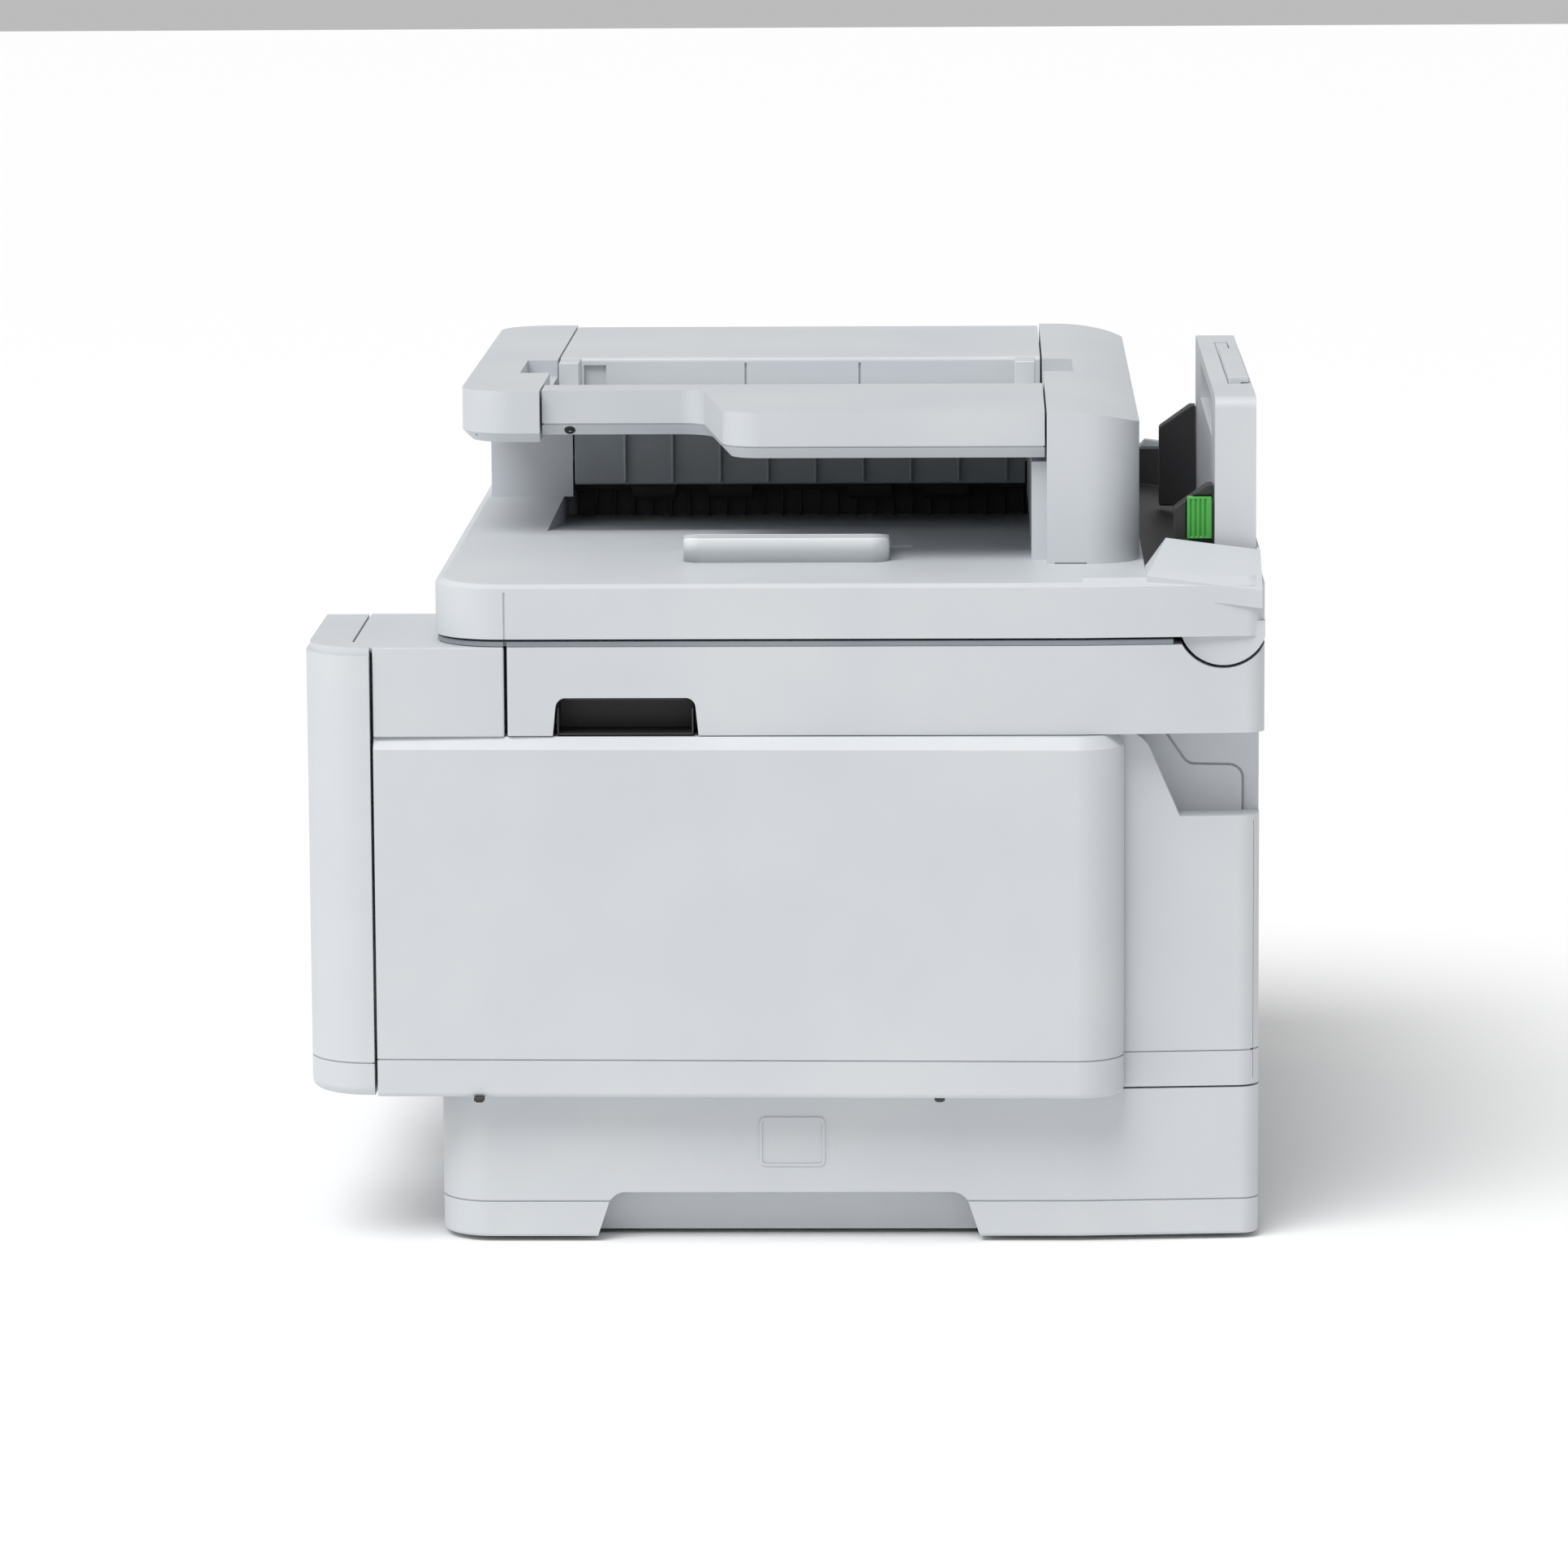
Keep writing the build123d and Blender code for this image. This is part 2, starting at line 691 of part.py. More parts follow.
with BuildPart() as rear_housing:
    with BuildSketch(Plane.XY.offset(body_bottom)):
        add(rear_outline)
    extrude(amount=body_height)
    cut((-half, half), (crease_y - 61, housing_front), (body_bottom - 1, body_top + 1))
    with BuildSketch(Plane.XY.offset(parting_z)):
        add(rear_ring)
    extrude(amount=groove, mode=Mode.SUBTRACT)
    for side in (Plane.YZ.offset(recess_x), Plane.YZ.offset(-trunk_half - 1)):
        with BuildSketch(side):
            with BuildLine():
                ThreePointArc((housing_front, body_top - 0.01), (recess_front + 4, body_top - 3),
                              (recess_front + 9, body_top - 9))
                Line((recess_front + 9, body_top - 9), (recess_back, recess_low))
                Line((recess_back, recess_low), (rear + 1, recess_low))
                Line((rear + 1, recess_low), (rear + 1, body_top + 1))
                Line((rear + 1, body_top + 1), (housing_front, body_top + 1))
                Line((housing_front, body_top + 1), (housing_front, body_top - 0.01))
            make_face()
        extrude(amount=trunk_half - recess_x + 1, mode=Mode.SUBTRACT)
    for side in (recess_x - cover_line_deep, -recess_x - 0.01):
        with BuildSketch(Plane.YZ.offset(side)):
            with BuildLine():
                FilletPolyline(*cover_line, radius=7)
            trace(line_width=cover_line_wide)
        extrude(amount=cover_line_deep + 0.01, mode=Mode.SUBTRACT)
    for side in ((recess_x - recess_step, recess_x + 1), (-recess_x - 1, recess_step - recess_x)):
        cut(side, (cover_line[-1][0] + 1, rear + 1), (recess_low, recess_low + recess_step_high))
    cut((9 + 1 - trunk_half, trunk_half - 10), (housing_front - 1, trunk_rear - wall),
        (body_bottom + wall, recess_low - wall))
    cut((wall - recess_x, recess_x - wall), (housing_front - 1, trunk_rear - wall),
        (recess_low - wall - 1, body_top - wall))
    with BuildSketch(Plane.YZ.offset(-half)):
        with BuildLine():
            Polyline((trunk_rear - 2, body_top + 1), (trunk_rear + 1, body_top + 1),
                     (trunk_rear + 1, body_top - 2), close=True)
        make_face()
    extrude(amount=width, mode=Mode.SUBTRACT)
    for x in lift_x:
        block((x - 15, x + 15), (lift_y - 8, trunk_rear), (lift_z - 6, body_top - 1))
        cut((x - 11, x + 11), (lift_y - 12, rear), (lift_z - 8, body_top + 1))
        rod(along_x(x - 12, lift_y, lift_z), lift_pin_radius, 24)
    cut((jam_x[0] - slide_gap, jam_x[1] + slide_gap), (trunk_rear - wall - 1, rear),
        (jam_z[0] - jam_thick / 2 - slide_gap, jam_z[1] + slide_gap))
    for x in (jam_x[0] - 5, jam_x[1] + 1):
        rod(along_x(x - 0.5, jam_y, jam_z[0]), jam_pin_radius + turn_gap, 5.5, Mode.SUBTRACT)
    cut(inlet_x, (trunk_rear - wall - 1, rear), inlet_z)
    cut(port_x, (trunk_rear - wall - 1, rear), port_z)
finish(rear_housing, "rear_housing")

with BuildPart() as rear_jam_cover:
    block(jam_x, (trunk_rear - jam_thick, trunk_rear), (jam_z[0], jam_z[1]))
    rod(along_x(jam_x[0], jam_y, jam_z[0]), jam_thick / 2, jam_x[1] - jam_x[0])
    rod(along_x(jam_x[0] - 4, jam_y, jam_z[0]), jam_pin_radius, jam_x[1] - jam_x[0] + 8)
    cut((-30, 30), (trunk_rear - 1.6, rear), (jam_z[1] - 14, jam_z[1] - 3))
finish(rear_jam_cover, "rear_jam_cover")

inlet_deep = 22
inlet_sunk = 0.6
inlet_hollow = 18
inlet_wall = 3
pin_pitch = 6
pin_radius = 1
pin_length = 12
with BuildPart() as power_inlet:
    block(inlet_x, (trunk_rear - inlet_deep, trunk_rear - inlet_sunk), inlet_z)
    cut((inlet_x[0] + inlet_wall, inlet_x[1] - inlet_wall), (trunk_rear - inlet_hollow, rear),
        (inlet_z[0] + inlet_wall, inlet_z[1] - inlet_wall))
    for pin in (-1, 0, 1):
        pin_x = (inlet_x[0] + inlet_x[1]) / 2 + pin * pin_pitch
        rod(along_y(pin_x, trunk_rear - inlet_hollow, (inlet_z[0] + inlet_z[1]) / 2), pin_radius, pin_length)
finish(power_inlet, "power_inlet")

port_deep = 10
port_rise = 8
# start along the panel, width and height of each socket
network_port = (8, 16, 14)
usb_port = (36, 13, 12)
with BuildPart() as port_panel:
    block(port_x, (trunk_rear - port_deep - 2, trunk_rear - 1), port_z)
    for start, wide, high in (network_port, usb_port):
        cut((port_x[0] + start, port_x[0] + start + wide), (trunk_rear - port_deep, rear),
            (port_z[0] + port_rise, port_z[0] + port_rise + high))
finish(port_panel, "port_panel")

# ---- tilting control panel ---------------------------------------------------------
panel_half_thick = 8
panel_length = 78
panel_slope = 52
screen_size = (92, 56)
screen_thick = 1.2
key_radius = 4.6
key_gap = 0.3
key_height = 4
key_travel = 0.8
key_well = 5
panel_middle = (panel_left + panel_right) / 2


def panel_plane(x, down, out):
    """A plane on the panel's front: down the panel from its hinge and out of its face."""
    face_out = Vector(0, -1, 0).rotate(Axis.X, -(90 - panel_slope))
    run = Vector(0, 0, -1).rotate(Axis.X, -(90 - panel_slope))
    spot = Vector(x, panel_axis_y, panel_axis_z) + run * down + face_out * out
    return Plane(origin=spot, x_dir=(1, 0, 0), z_dir=face_out)


key_down = (26, 44, 62)
key_x = panel_right - 14
with BuildPart() as panel_housing:
    with BuildSketch(panel_plane(panel_middle, panel_length / 2, -panel_half_thick)):
        Rectangle(panel_right - panel_left, panel_length)
    extrude(amount=2 * panel_half_thick)
    rod(along_x(panel_left, panel_axis_y, panel_axis_z), panel_half_thick, panel_right - panel_left)
    foot = panel_plane(panel_left, panel_length, 0)
    rod(Plane(origin=foot.origin, x_dir=(0, 1, 0), z_dir=(1, 0, 0)), panel_half_thick,
        panel_right - panel_left)
    rod(along_x(panel_left - 1, panel_axis_y, panel_axis_z), panel_shaft_radius + turn_gap,
        panel_right - panel_left + 2, Mode.SUBTRACT)
    with BuildSketch(panel_plane(panel_middle - 14, panel_length / 2 + 5, panel_half_thick)):
        RectangleRounded(screen_size[0], screen_size[1], 3)
    extrude(amount=-screen_thick, mode=Mode.SUBTRACT)
    for down in key_down:
        with BuildSketch(panel_plane(key_x, down, panel_half_thick)):
            Circle(key_radius + key_gap)
        extrude(amount=-key_well, mode=Mode.SUBTRACT)
finish(panel_housing, "panel_housing")

with BuildPart() as touch_screen:
    with BuildSketch(panel_plane(panel_middle - 14, panel_length / 2 + 5, panel_half_thick - screen_thick)):
        RectangleRounded(screen_size[0], screen_size[1], 3)
    extrude(amount=screen_thick)
finish(touch_screen, "touch_screen")


def panel_key(down, label):
    """A round key in its well: the travel is the gap left under it."""
    with BuildPart() as key:
        with BuildSketch(panel_plane(key_x, down, panel_half_thick - key_well + key_travel + 0.2)):
            Circle(key_radius)
        extrude(amount=key_height + 1)
        fillet(key.faces().sort_by(Axis.Y)[0].edges(), 0.5)
    finish(key, label)


for down, label in zip(key_down, ("power_key", "stop_key", "start_key")):
    panel_key(down, label)

# ---- scanner unit ------------------------------------------------------------------
hinge_y = rear - 20.7
hinge_z = lid_top - 22
lobe_radius = 22.2
lobe_width = 60
lobe_gap = 1.5
scan_half = upper_half - 30
scan_front = scanner_front + 13
scan_back = rear - 52
glass_rest = scanner_top - 3.5
scanner_outline = plan_outline(upper_half, scanner_front, shell_rear, 1.5, 10)
scanner_inset = plan_outline(upper_half - 1, lid_front + 1, shell_rear - 1, 34, 9)
pull_front = -115
pull_rear = -43
pull_height = 19
pull_depth = 25


def pull_outline():
    """Side profile of the finger hollow under the scanner's side."""
    with BuildSketch() as pull:
        with BuildLine():
            Polyline(
                (pull_front, scanner_bottom - 1),
                (pull_rear + 1, scanner_bottom - 1),
                (pull_rear - 1, scanner_bottom + pull_height),
                (pull_front + 2, scanner_bottom + pull_height),
                close=True,
            )
        make_face()
        fillet(pull.vertices().group_by(Axis.Y)[-1], 5)
    return pull.sketch


pull = pull_outline()
with BuildPart() as scanner_frame:
    with BuildSketch(Plane.XY.offset(scanner_bottom)):
        add(scanner_outline)
    extrude(amount=scanner_height)
    cut((-scan_half, scan_half), (scan_front, scan_back), (scanner_bottom + wall + 1, scanner_top + 1))
    cut((-scan_half - 6, scan_half + 6), (scan_front - 4, scan_back + 4), (glass_rest, scanner_top + 1))
    cut((12 - upper_half, -scan_half - 9), (scan_front, scan_back), (scanner_bottom + 24, scanner_top - 3))
    cut((scan_half + 9, upper_half - 12), (scan_front, scan_back), (scanner_bottom + 24, scanner_top - 3))
    for side in (Plane.YZ.offset(upper_half - pull_depth), Plane.YZ.offset(-upper_half - 1)):
        with BuildSketch(side):
            add(pull)
        extrude(amount=pull_depth + 1, mode=Mode.SUBTRACT)
    rod(along_x(-half, hinge_y, hinge_z), lobe_radius + lobe_gap, width, Mode.SUBTRACT)
    for x in lift_x:
        block((x - 10, x + 10), (lift_y - lift_arm_radius, lift_y + 4), (lift_z, scanner_bottom + 1))
        rod(along_x(x - 10, lift_y, lift_z), lift_arm_radius, 20)
        rod(along_x(x - 11, lift_y, lift_z), lift_pin_radius + turn_gap, 22, Mode.SUBTRACT)
finish(scanner_frame, "scanner_frame")

rim_half = upper_half - 42
rim_back = hinge_y - 25
rim_lift = 0.3
with BuildPart() as scanner_rim:
    with BuildSketch(Plane.XY.offset(scanner_top)):
        add(scanner_inset)
    extrude(amount=rim_height)
    cut((-half, half), (lid_front - 1, scanner_front), (scanner_top - 1, scanner_top + rim_lift))
    for side in ((upper_half - 3, half), (-half, 3 - upper_half)):
        cut(side, (scanner_front - seam, scanner_front), (scanner_top - 1, rim_top + 1))
    cut((-half, half), (rim_back, rear + 1), (scanner_top - 1, rim_top + 1))
    cut((-rim_half, rim_half), (scan_front + 6, scan_back - 6), (scanner_top - 1, rim_top + 1))
finish(scanner_rim, "scanner_rim")

with BuildPart() as scanner_glass:
    block((-scan_half - 5.5, scan_half + 5.5), (scan_front - 3.5, scan_back + 3.5), (glass_rest, scanner_top))
finish(scanner_glass, "scanner_glass")

scan_bar_width = 36
with BuildPart() as scan_carriage:
    block((10 - scan_half, 10 - scan_half + scan_bar_width), (scan_front + 3, scan_back - 3),
          (scanner_bottom + wall + 4, glass_rest - 4))
    block((22 - scan_half, 26 - scan_half), (scan_front + 8, scan_back - 8),
          (glass_rest - 4, glass_rest - 1.5))
finish(scan_carriage, "scan_carriage")

# ---- document cover ----------------------------------------------------------------
lid_corner = 34
lid_bevel = 5
lid_outline = plan_outline(upper_half, lid_front, shell_rear, lid_corner, 10)
adf_face_x = -95
sunk_floor = lid_top - 14.5
sunk_x = (adf_face_x - 45, 66)
sunk_y = (lid_front + 46, side_cover_rear - 46)
pit_x = (-232, trunk_half - 28)
pit_y = (side_cover_rear + 9, shell_rear - 3)
shoulder_top = lid_top + 17
shoulder_front = side_cover_rear + 9
stop_x = (150, 206)
stop_y = (-52, 52)
stop_top = lid_top + 14.5
stop_far_top = lid_top + 6
shoulder_fall = 0.13
shoulder_lean = 12
side_fall = 2.1
side_fall_x = half - 70
side_fall_end = side_cover_rear - 22
with BuildPart() as lid_shell:
    with BuildSketch(Plane.XY.offset(lid_bottom)):
        add(lid_outline)
    extrude(amount=lid_height)
    top = lid_shell.faces().sort_by(Axis.Z)[-1]
    chamfer(top.edges(), length=lid_bevel, length2=4, reference=top)
    # the raised rear housing, its ends sloping down to the sides
    for sign in (-1, 1):
        with BuildSketch(Plane.XZ.offset(-lid_front + 1)):
            with BuildLine():
                Polyline(
                    (sign * side_fall_x, lid_top),
                    (sign * half, lid_top - side_fall * (half - side_fall_x) / (upper_half - side_fall_x)),
                    (sign * half, lid_top + 1),
                    (sign * side_fall_x, lid_top + 1),
                    close=True,
                )
            make_face()
        extrude(amount=lid_front - side_fall_end, mode=Mode.SUBTRACT)
        cut(sorted((sign * (upper_half - groove), sign * half)),
            (scanner_front - seam, scanner_front - seam + 1),
            (lid_bottom - 1, lid_top - lid_bevel - 1))
    with BuildSketch(Plane.XZ.offset(-shoulder_front)):
        with BuildLine():
            Polyline(
                (5 - upper_half, lid_top - 8),
                (5 - upper_half, lid_top + 1),
                (10 - upper_half, lid_top + 4.6),
                (38 - upper_half, shoulder_top),
                (upper_half - 38, shoulder_top),
                (upper_half - 10, lid_top + 4.6),
                (upper_half - 5, lid_top + 1),
                (upper_half - 5, lid_top - 8),
                close=True,
            )
        make_face()
    extrude(amount=shell_rear - shoulder_front - 1, dir=(0, 1, -shoulder_fall))
    with BuildSketch(Plane.YZ.offset(-half)):
        with BuildLine():
            Polyline(
                (shoulder_front - 1, lid_top),
                (shoulder_front + shoulder_lean, shoulder_top + 1),
                (shoulder_front - 1, shoulder_top + 1),
                close=True,
            )
        make_face()
    extrude(amount=width, mode=Mode.SUBTRACT)
    cut(pit_x, pit_y, (lid_top - 14, shoulder_top + 1))
    # the hollow under the cover, then the two round hinge lobes
    cut((14 - upper_half, sunk_x[0] - 4), (lid_front + 14, scan_back), (lid_bottom - 1, lid_top - wall))
    cut((sunk_x[1] + 4, upper_half - 14), (lid_front + 14, scan_back - 18), (lid_bottom - 1, lid_top - wall))
    cut((sunk_x[0] - 5, sunk_x[1] + 5), (lid_front + 14, scan_back - 18), (lid_bottom - 1, sunk_floor - wall))
    for lobe_start in (crease_in + 1 - upper_half, upper_half - crease_in - 1 - lobe_width):
        with BuildSketch(Plane.YZ.offset(lobe_start)):
            with BuildLine():
                Line((hinge_y - lobe_radius, hinge_z), (hinge_y + lobe_radius, hinge_z))
                ThreePointArc((hinge_y + lobe_radius, hinge_z),
                              (hinge_y, hinge_z - lobe_radius),
                              (hinge_y - lobe_radius, hinge_z))
            make_face()
        extrude(amount=lobe_width)
    cut((-half, half), (shell_rear, rear + 5), (hinge_z - lobe_radius - 1, lid_top))
    # the sunk sheet landing in front of the exit slot
    with BuildSketch(Plane.XZ.offset(-sunk_y[1])):
        with BuildLine():
            Polyline(
                (sunk_x[0], lid_top + 1),
                (sunk_x[0], sunk_floor),
                (adf_face_x + 10, sunk_floor),
                (sunk_x[1], lid_top + 0.01),
                (sunk_x[1], lid_top + 1),
                close=True,
            )
        make_face()
    extrude(amount=sunk_y[1] - sunk_y[0], mode=Mode.SUBTRACT)
    # the low bump that stops the sheets
    with BuildSketch(Plane.XY.offset(lid_top)):
        with Locations(((stop_x[0] + stop_x[1]) / 2, (stop_y[0] + stop_y[1]) / 2)):
            RectangleRounded(stop_x[1] - stop_x[0], stop_y[1] - stop_y[0], 9)
    extrude(amount=stop_top - lid_top)
    with BuildSketch(Plane.XZ.offset(-stop_y[1] - 1)):
        with BuildLine():
            Polyline((stop_x[0] - 1, stop_far_top), (stop_x[1] + 1, stop_top), (stop_x[1] + 1, stop_top + 1),
                     (stop_x[0] - 1, stop_top + 1), close=True)
        make_face()
    extrude(amount=stop_y[1] - stop_y[0] + 2, mode=Mode.SUBTRACT)
finish(lid_shell, "lid_shell")

with BuildPart() as lid_backing:
    block((4 - rim_half, rim_half - 4), (scan_front + 10, scan_back - 18), (scanner_top + 0.4, lid_bottom))
    for x in (-rim_half + 60, rim_half - 60):
        block((x - 20, x + 20), (scan_front + 10, scan_front + 22), (lid_bottom, sunk_floor - wall))
finish(lid_backing, "lid_backing")

# ---- sheet feeder housing ----------------------------------------------------------
adf_left = 2 - half
adf_front = lid_front + 2.5
adf_rear = side_cover_rear + 7
adf_waist = lid_top + 49.6
arm_back = -feeder_span / 2 - 6.7
column_front = feeder_span / 2 + 8
arm_right = half - 192
column_right = half - 73
arm_corner = 28
arm_bevel = 5
adf_crown = 7
adf_crown_start = side_cover_rear - 30
adf_corner = 14
adf_shell = 10
block_inset = 4
cover_low = adf_waist + 1
cover_half_thick = (adf_top - cover_low) / 2
cover_axis_x = adf_left + cover_half_thick
cover_axis_z = cover_low + cover_half_thick
cover_face_x = adf_face_x + 7
cover_pin_radius = 3
tray_axis_x = cover_face_x + 12
tray_axis_z = adf_waist + 10.5
tray_pin_radius = 3
roller_shaft = 3
intake_x = adf_face_x - 30
intake_z = adf_waist - 11
intake_radius = 10
exit_x = adf_face_x - 12
exit_z = lid_top + 5
exit_radius = 8
scoop_x = (cover_face_x + 14, cover_face_x + 84)
scoop_wide = 16
scoop_deep = 9
with BuildPart() as adf_housing:
    add(slab((adf_left, adf_face_x), (adf_front + block_inset, adf_rear), (lid_top, adf_waist),
             (adf_corner, 0, 0, adf_corner)))
    arm = slab((adf_left, arm_right), (adf_front, arm_back), (adf_waist, adf_top),
               (arm_corner, arm_corner, 0, 0))
    arm_foot = arm.faces().sort_by(Axis.Z)[0]
    add(arm.chamfer(arm_bevel, arm_bevel, arm_foot.edges().sort_by(Axis.Y)[:-1]))
    add(slab((adf_left, column_right), (column_front, adf_rear), (lid_top, adf_top),
             (0, 0, arm_corner - 1, adf_corner)))
    block((adf_face_x, column_right - 17), (feeder_span / 2 + 0.4, column_front), (lid_top, adf_waist + 0.5))
    # hollows: the works under the top cover, the arm, the column
    cut((adf_left + adf_shell, adf_face_x + 1), (-feeder_span / 2, feeder_span / 2),
        (lid_top - 1, adf_waist + 1))
    cut((adf_left + adf_shell, adf_face_x - 5), (adf_front + adf_shell, arm_back - 6),
        (lid_top - 1, adf_waist + 4))
    cut((adf_left + adf_shell, arm_right - adf_shell), (adf_front + 8, arm_back - 6),
        (adf_waist + 3, adf_top - wall))
    cut((adf_left + adf_shell, column_right - 28), (column_front + 4, adf_rear - 12),
        (lid_top - 1, adf_top - adf_crown - wall))
    block((scoop_x[0] - 3, scoop_x[1] + 3), (arm_back - scoop_wide - 3, arm_back),
          (adf_top - scoop_deep - 2, adf_top))
    block((scoop_x[0] - 3, scoop_x[1] + 3), (column_front, column_front + scoop_wide + 3),
          (adf_top - scoop_deep - 2, adf_top))
    cut(scoop_x, (arm_back - scoop_wide, arm_back + 1), (adf_top - scoop_deep, adf_top + 1))
    cut(scoop_x, (column_front - 1, column_front + scoop_wide), (adf_top - scoop_deep, adf_top + 1))
    # the top falls away in a shallow curve towards the rear
    with BuildSketch(Plane.YZ.offset(-half)):
        with BuildLine():
            Line((adf_crown_start, adf_top), (adf_crown_start, adf_top + 1))
            Line((adf_crown_start, adf_top + 1), (adf_rear + 1, adf_top + 1))
            Line((adf_rear + 1, adf_top + 1), (adf_rear + 1, adf_top - adf_crown))
            ThreePointArc((adf_rear + 1, adf_top - adf_crown),
                          ((adf_rear + 1 + adf_crown_start) / 2, adf_top - adf_crown / 4),
                          (adf_crown_start, adf_top))
        make_face()
    extrude(amount=width, mode=Mode.SUBTRACT)
    cut((column_right - 1, column_right + 1), (column_front + 4, column_front + 20),
        (lid_top - 1, lid_top + groove))
    for y, length in ((arm_back - 4, 5), (column_front - 1, 4)):
        rod(along_y(cover_axis_x, y, cover_axis_z), cover_pin_radius + turn_gap, length, Mode.SUBTRACT)
        rod(along_y(tray_axis_x, y, tray_axis_z), tray_pin_radius + turn_gap, length, Mode.SUBTRACT)
    for x, z in ((intake_x, intake_z), (exit_x, exit_z)):
        rod(along_y(x, -feeder_span / 2 - 4.5, z), roller_shaft + turn_gap, feeder_span + 9, Mode.SUBTRACT)
finish(adf_housing, "adf_housing")

rib_pitch = 26
rib_middle = 9
rib_side = int((feeder_span / 2 - rib_middle - 10) / rib_pitch)
rib_rise = 2.5
rib_half = 0.7
slot_height = 6.5
with BuildPart() as adf_inner_wall:
    block((adf_face_x - wall, adf_face_x), (1 - feeder_span / 2, feeder_span / 2 - 1),
          (lid_top + slot_height, adf_waist))
    for rib in range(-rib_side, rib_side + 1):
        y = rib_middle + rib * rib_pitch
        block((adf_face_x, adf_face_x + rib_rise), (y - rib_half, y + rib_half), (lid_top + 8, adf_waist - 2))
finish(adf_inner_wall, "adf_inner_wall")

with BuildPart() as adf_intake_roller:
    rod(along_y(intake_x, -feeder_span / 2 - 4, intake_z), roller_shaft, feeder_span + 8)
    for y in (-90, -18, 54):
        rod(along_y(intake_x, y, intake_z), intake_radius, 36)
finish(adf_intake_roller, "adf_intake_roller")

with BuildPart() as adf_exit_roller:
    rod(along_y(exit_x, -feeder_span / 2 - 4, exit_z), roller_shaft, feeder_span + 8)
    for y in (-92, -50, 26, 68):
        rod(along_y(exit_x, y, exit_z), exit_radius, 24)
finish(adf_exit_roller, "adf_exit_roller")

# ---- sheet feeder top cover --------------------------------------------------------
flap_y = (-29, 33)
notch_y = (7 - feeder_span / 2, 19 - feeder_span / 2)
notch_deep = 2.5
notch_top = 4
with BuildPart() as adf_top_cover:
    block((cover_axis_x, cover_face_x), (arm_back + slide_gap, column_front - slide_gap),
          (cover_low, adf_top))
    fillet(adf_top_cover.edges().filter_by(Axis.Y).group_by(Axis.X)[-1].sort_by(Axis.Z)[-1], 2.5)
    rod(along_y(cover_axis_x, arm_back + slide_gap, cover_axis_z), cover_half_thick,
        column_front - arm_back - 2 * slide_gap)
    cut((cover_axis_x + cover_half_thick + 2, cover_face_x - 4), (8 - feeder_span / 2, feeder_span / 2 - 8),
        (cover_low - 1, adf_top - 4))
    rod(along_y(cover_axis_x, arm_back - 3, cover_axis_z), cover_pin_radius, 5)
    rod(along_y(cover_axis_x, column_front - 2, cover_axis_z), cover_pin_radius, 4.5)
    cut((cover_face_x - notch_deep, cover_face_x + 1), notch_y, (cover_low - 1, adf_top - notch_top))
    for y in flap_y:
        cut((cover_face_x - 1.5, cover_face_x + 1), (y - 0.6, y + 0.6), (cover_low - 1, adf_top - 3))
finish(adf_top_cover, "adf_top_cover")

# ---- document tray of the sheet feeder ---------------------------------------------
tray_low = adf_waist + 3.3
tray_near = half - 198
tray_far = cover_face_x + 4
tray_reach = half - 80
tray_step_y = -38
tray_flat_x = 60
tray_bevel = 4.5
tray_slot_z = adf_waist + 9
tray_high = adf_top - 0.2


def tray_outline():
    """Plan of the tray: the rear two thirds reach further out, past a soft step."""
    with BuildSketch() as outline:
        with BuildLine():
            Polyline(
                (tray_far, arm_back + slide_gap),
                (tray_near, arm_back + slide_gap),
                (tray_near, tray_step_y - 8),
                (tray_reach, tray_step_y + 8),
                (tray_reach, column_front - slide_gap),
                (tray_far, column_front - slide_gap),
                close=True,
            )
        make_face()
        fillet(outline.vertices().sort_by(Axis.X)[2:4].sort_by(Axis.Y)[-1:], 14)
        step = outline.vertices().filter_by_position(Axis.Y, tray_step_y + 7, tray_step_y + 9)
        fillet(step, 20)
    return outline.sketch


def tray_surface(x):
    """Height of the sloping paper surface at x."""
    return tray_high - (tray_flat_x - x) * (tray_high - tray_slot_z) / (tray_flat_x - tray_far)


with BuildPart() as adf_tray:
    with BuildSketch(Plane.XY.offset(tray_low)):
        add(tray_outline())
    extrude(amount=tray_high - tray_low)
    tray_foot = adf_tray.faces().sort_by(Axis.Z)[0]
    near_edges = [edge for edge in tray_foot.edges() if edge.center().X > tray_near - 1]
    chamfer(near_edges, length=tray_bevel, length2=tray_bevel + 1, reference=tray_foot)
    with BuildSketch(Plane.XY.offset(tray_low + tray_bevel + 1)) as tray_line:
        add(tray_outline())
        offset(tray_line.sketch, -groove, mode=Mode.SUBTRACT)
    extrude(amount=groove, mode=Mode.SUBTRACT)
    with BuildSketch(Plane.XZ.offset(half)):
        with BuildLine():
            Polyline(
                (tray_flat_x, tray_high),
                (tray_far - 1, tray_surface(tray_far - 1)),
                (tray_far - 1, tray_high + 1),
                (tray_flat_x, tray_high + 1),
                close=True,
            )
        make_face()
    extrude(amount=-width, mode=Mode.SUBTRACT)
    cut((tray_flat_x + 14, tray_reach - 9), (tray_step_y + 26, column_front - 12),
        (tray_low - 1, tray_high - 3.5))
    cut((0, tray_flat_x + 8), (arm_back + 12, column_front - 12), (tray_low - 1, tray_low + 9))
    rod(along_y(tray_axis_x, arm_back - 3, tray_axis_z), tray_pin_radius, 5)
    rod(along_y(tray_axis_x, column_front - 2, tray_axis_z), tray_pin_radius, 4.5)
finish(adf_tray, "adf_tray")

guide_x = (cover_face_x + 20, cover_face_x + 48)
guide_thick = 11
guide_foot = 18
guide_rise = 0.3
guide_top = adf_top + 2
a4_half = (feeder_span - 14) / 2


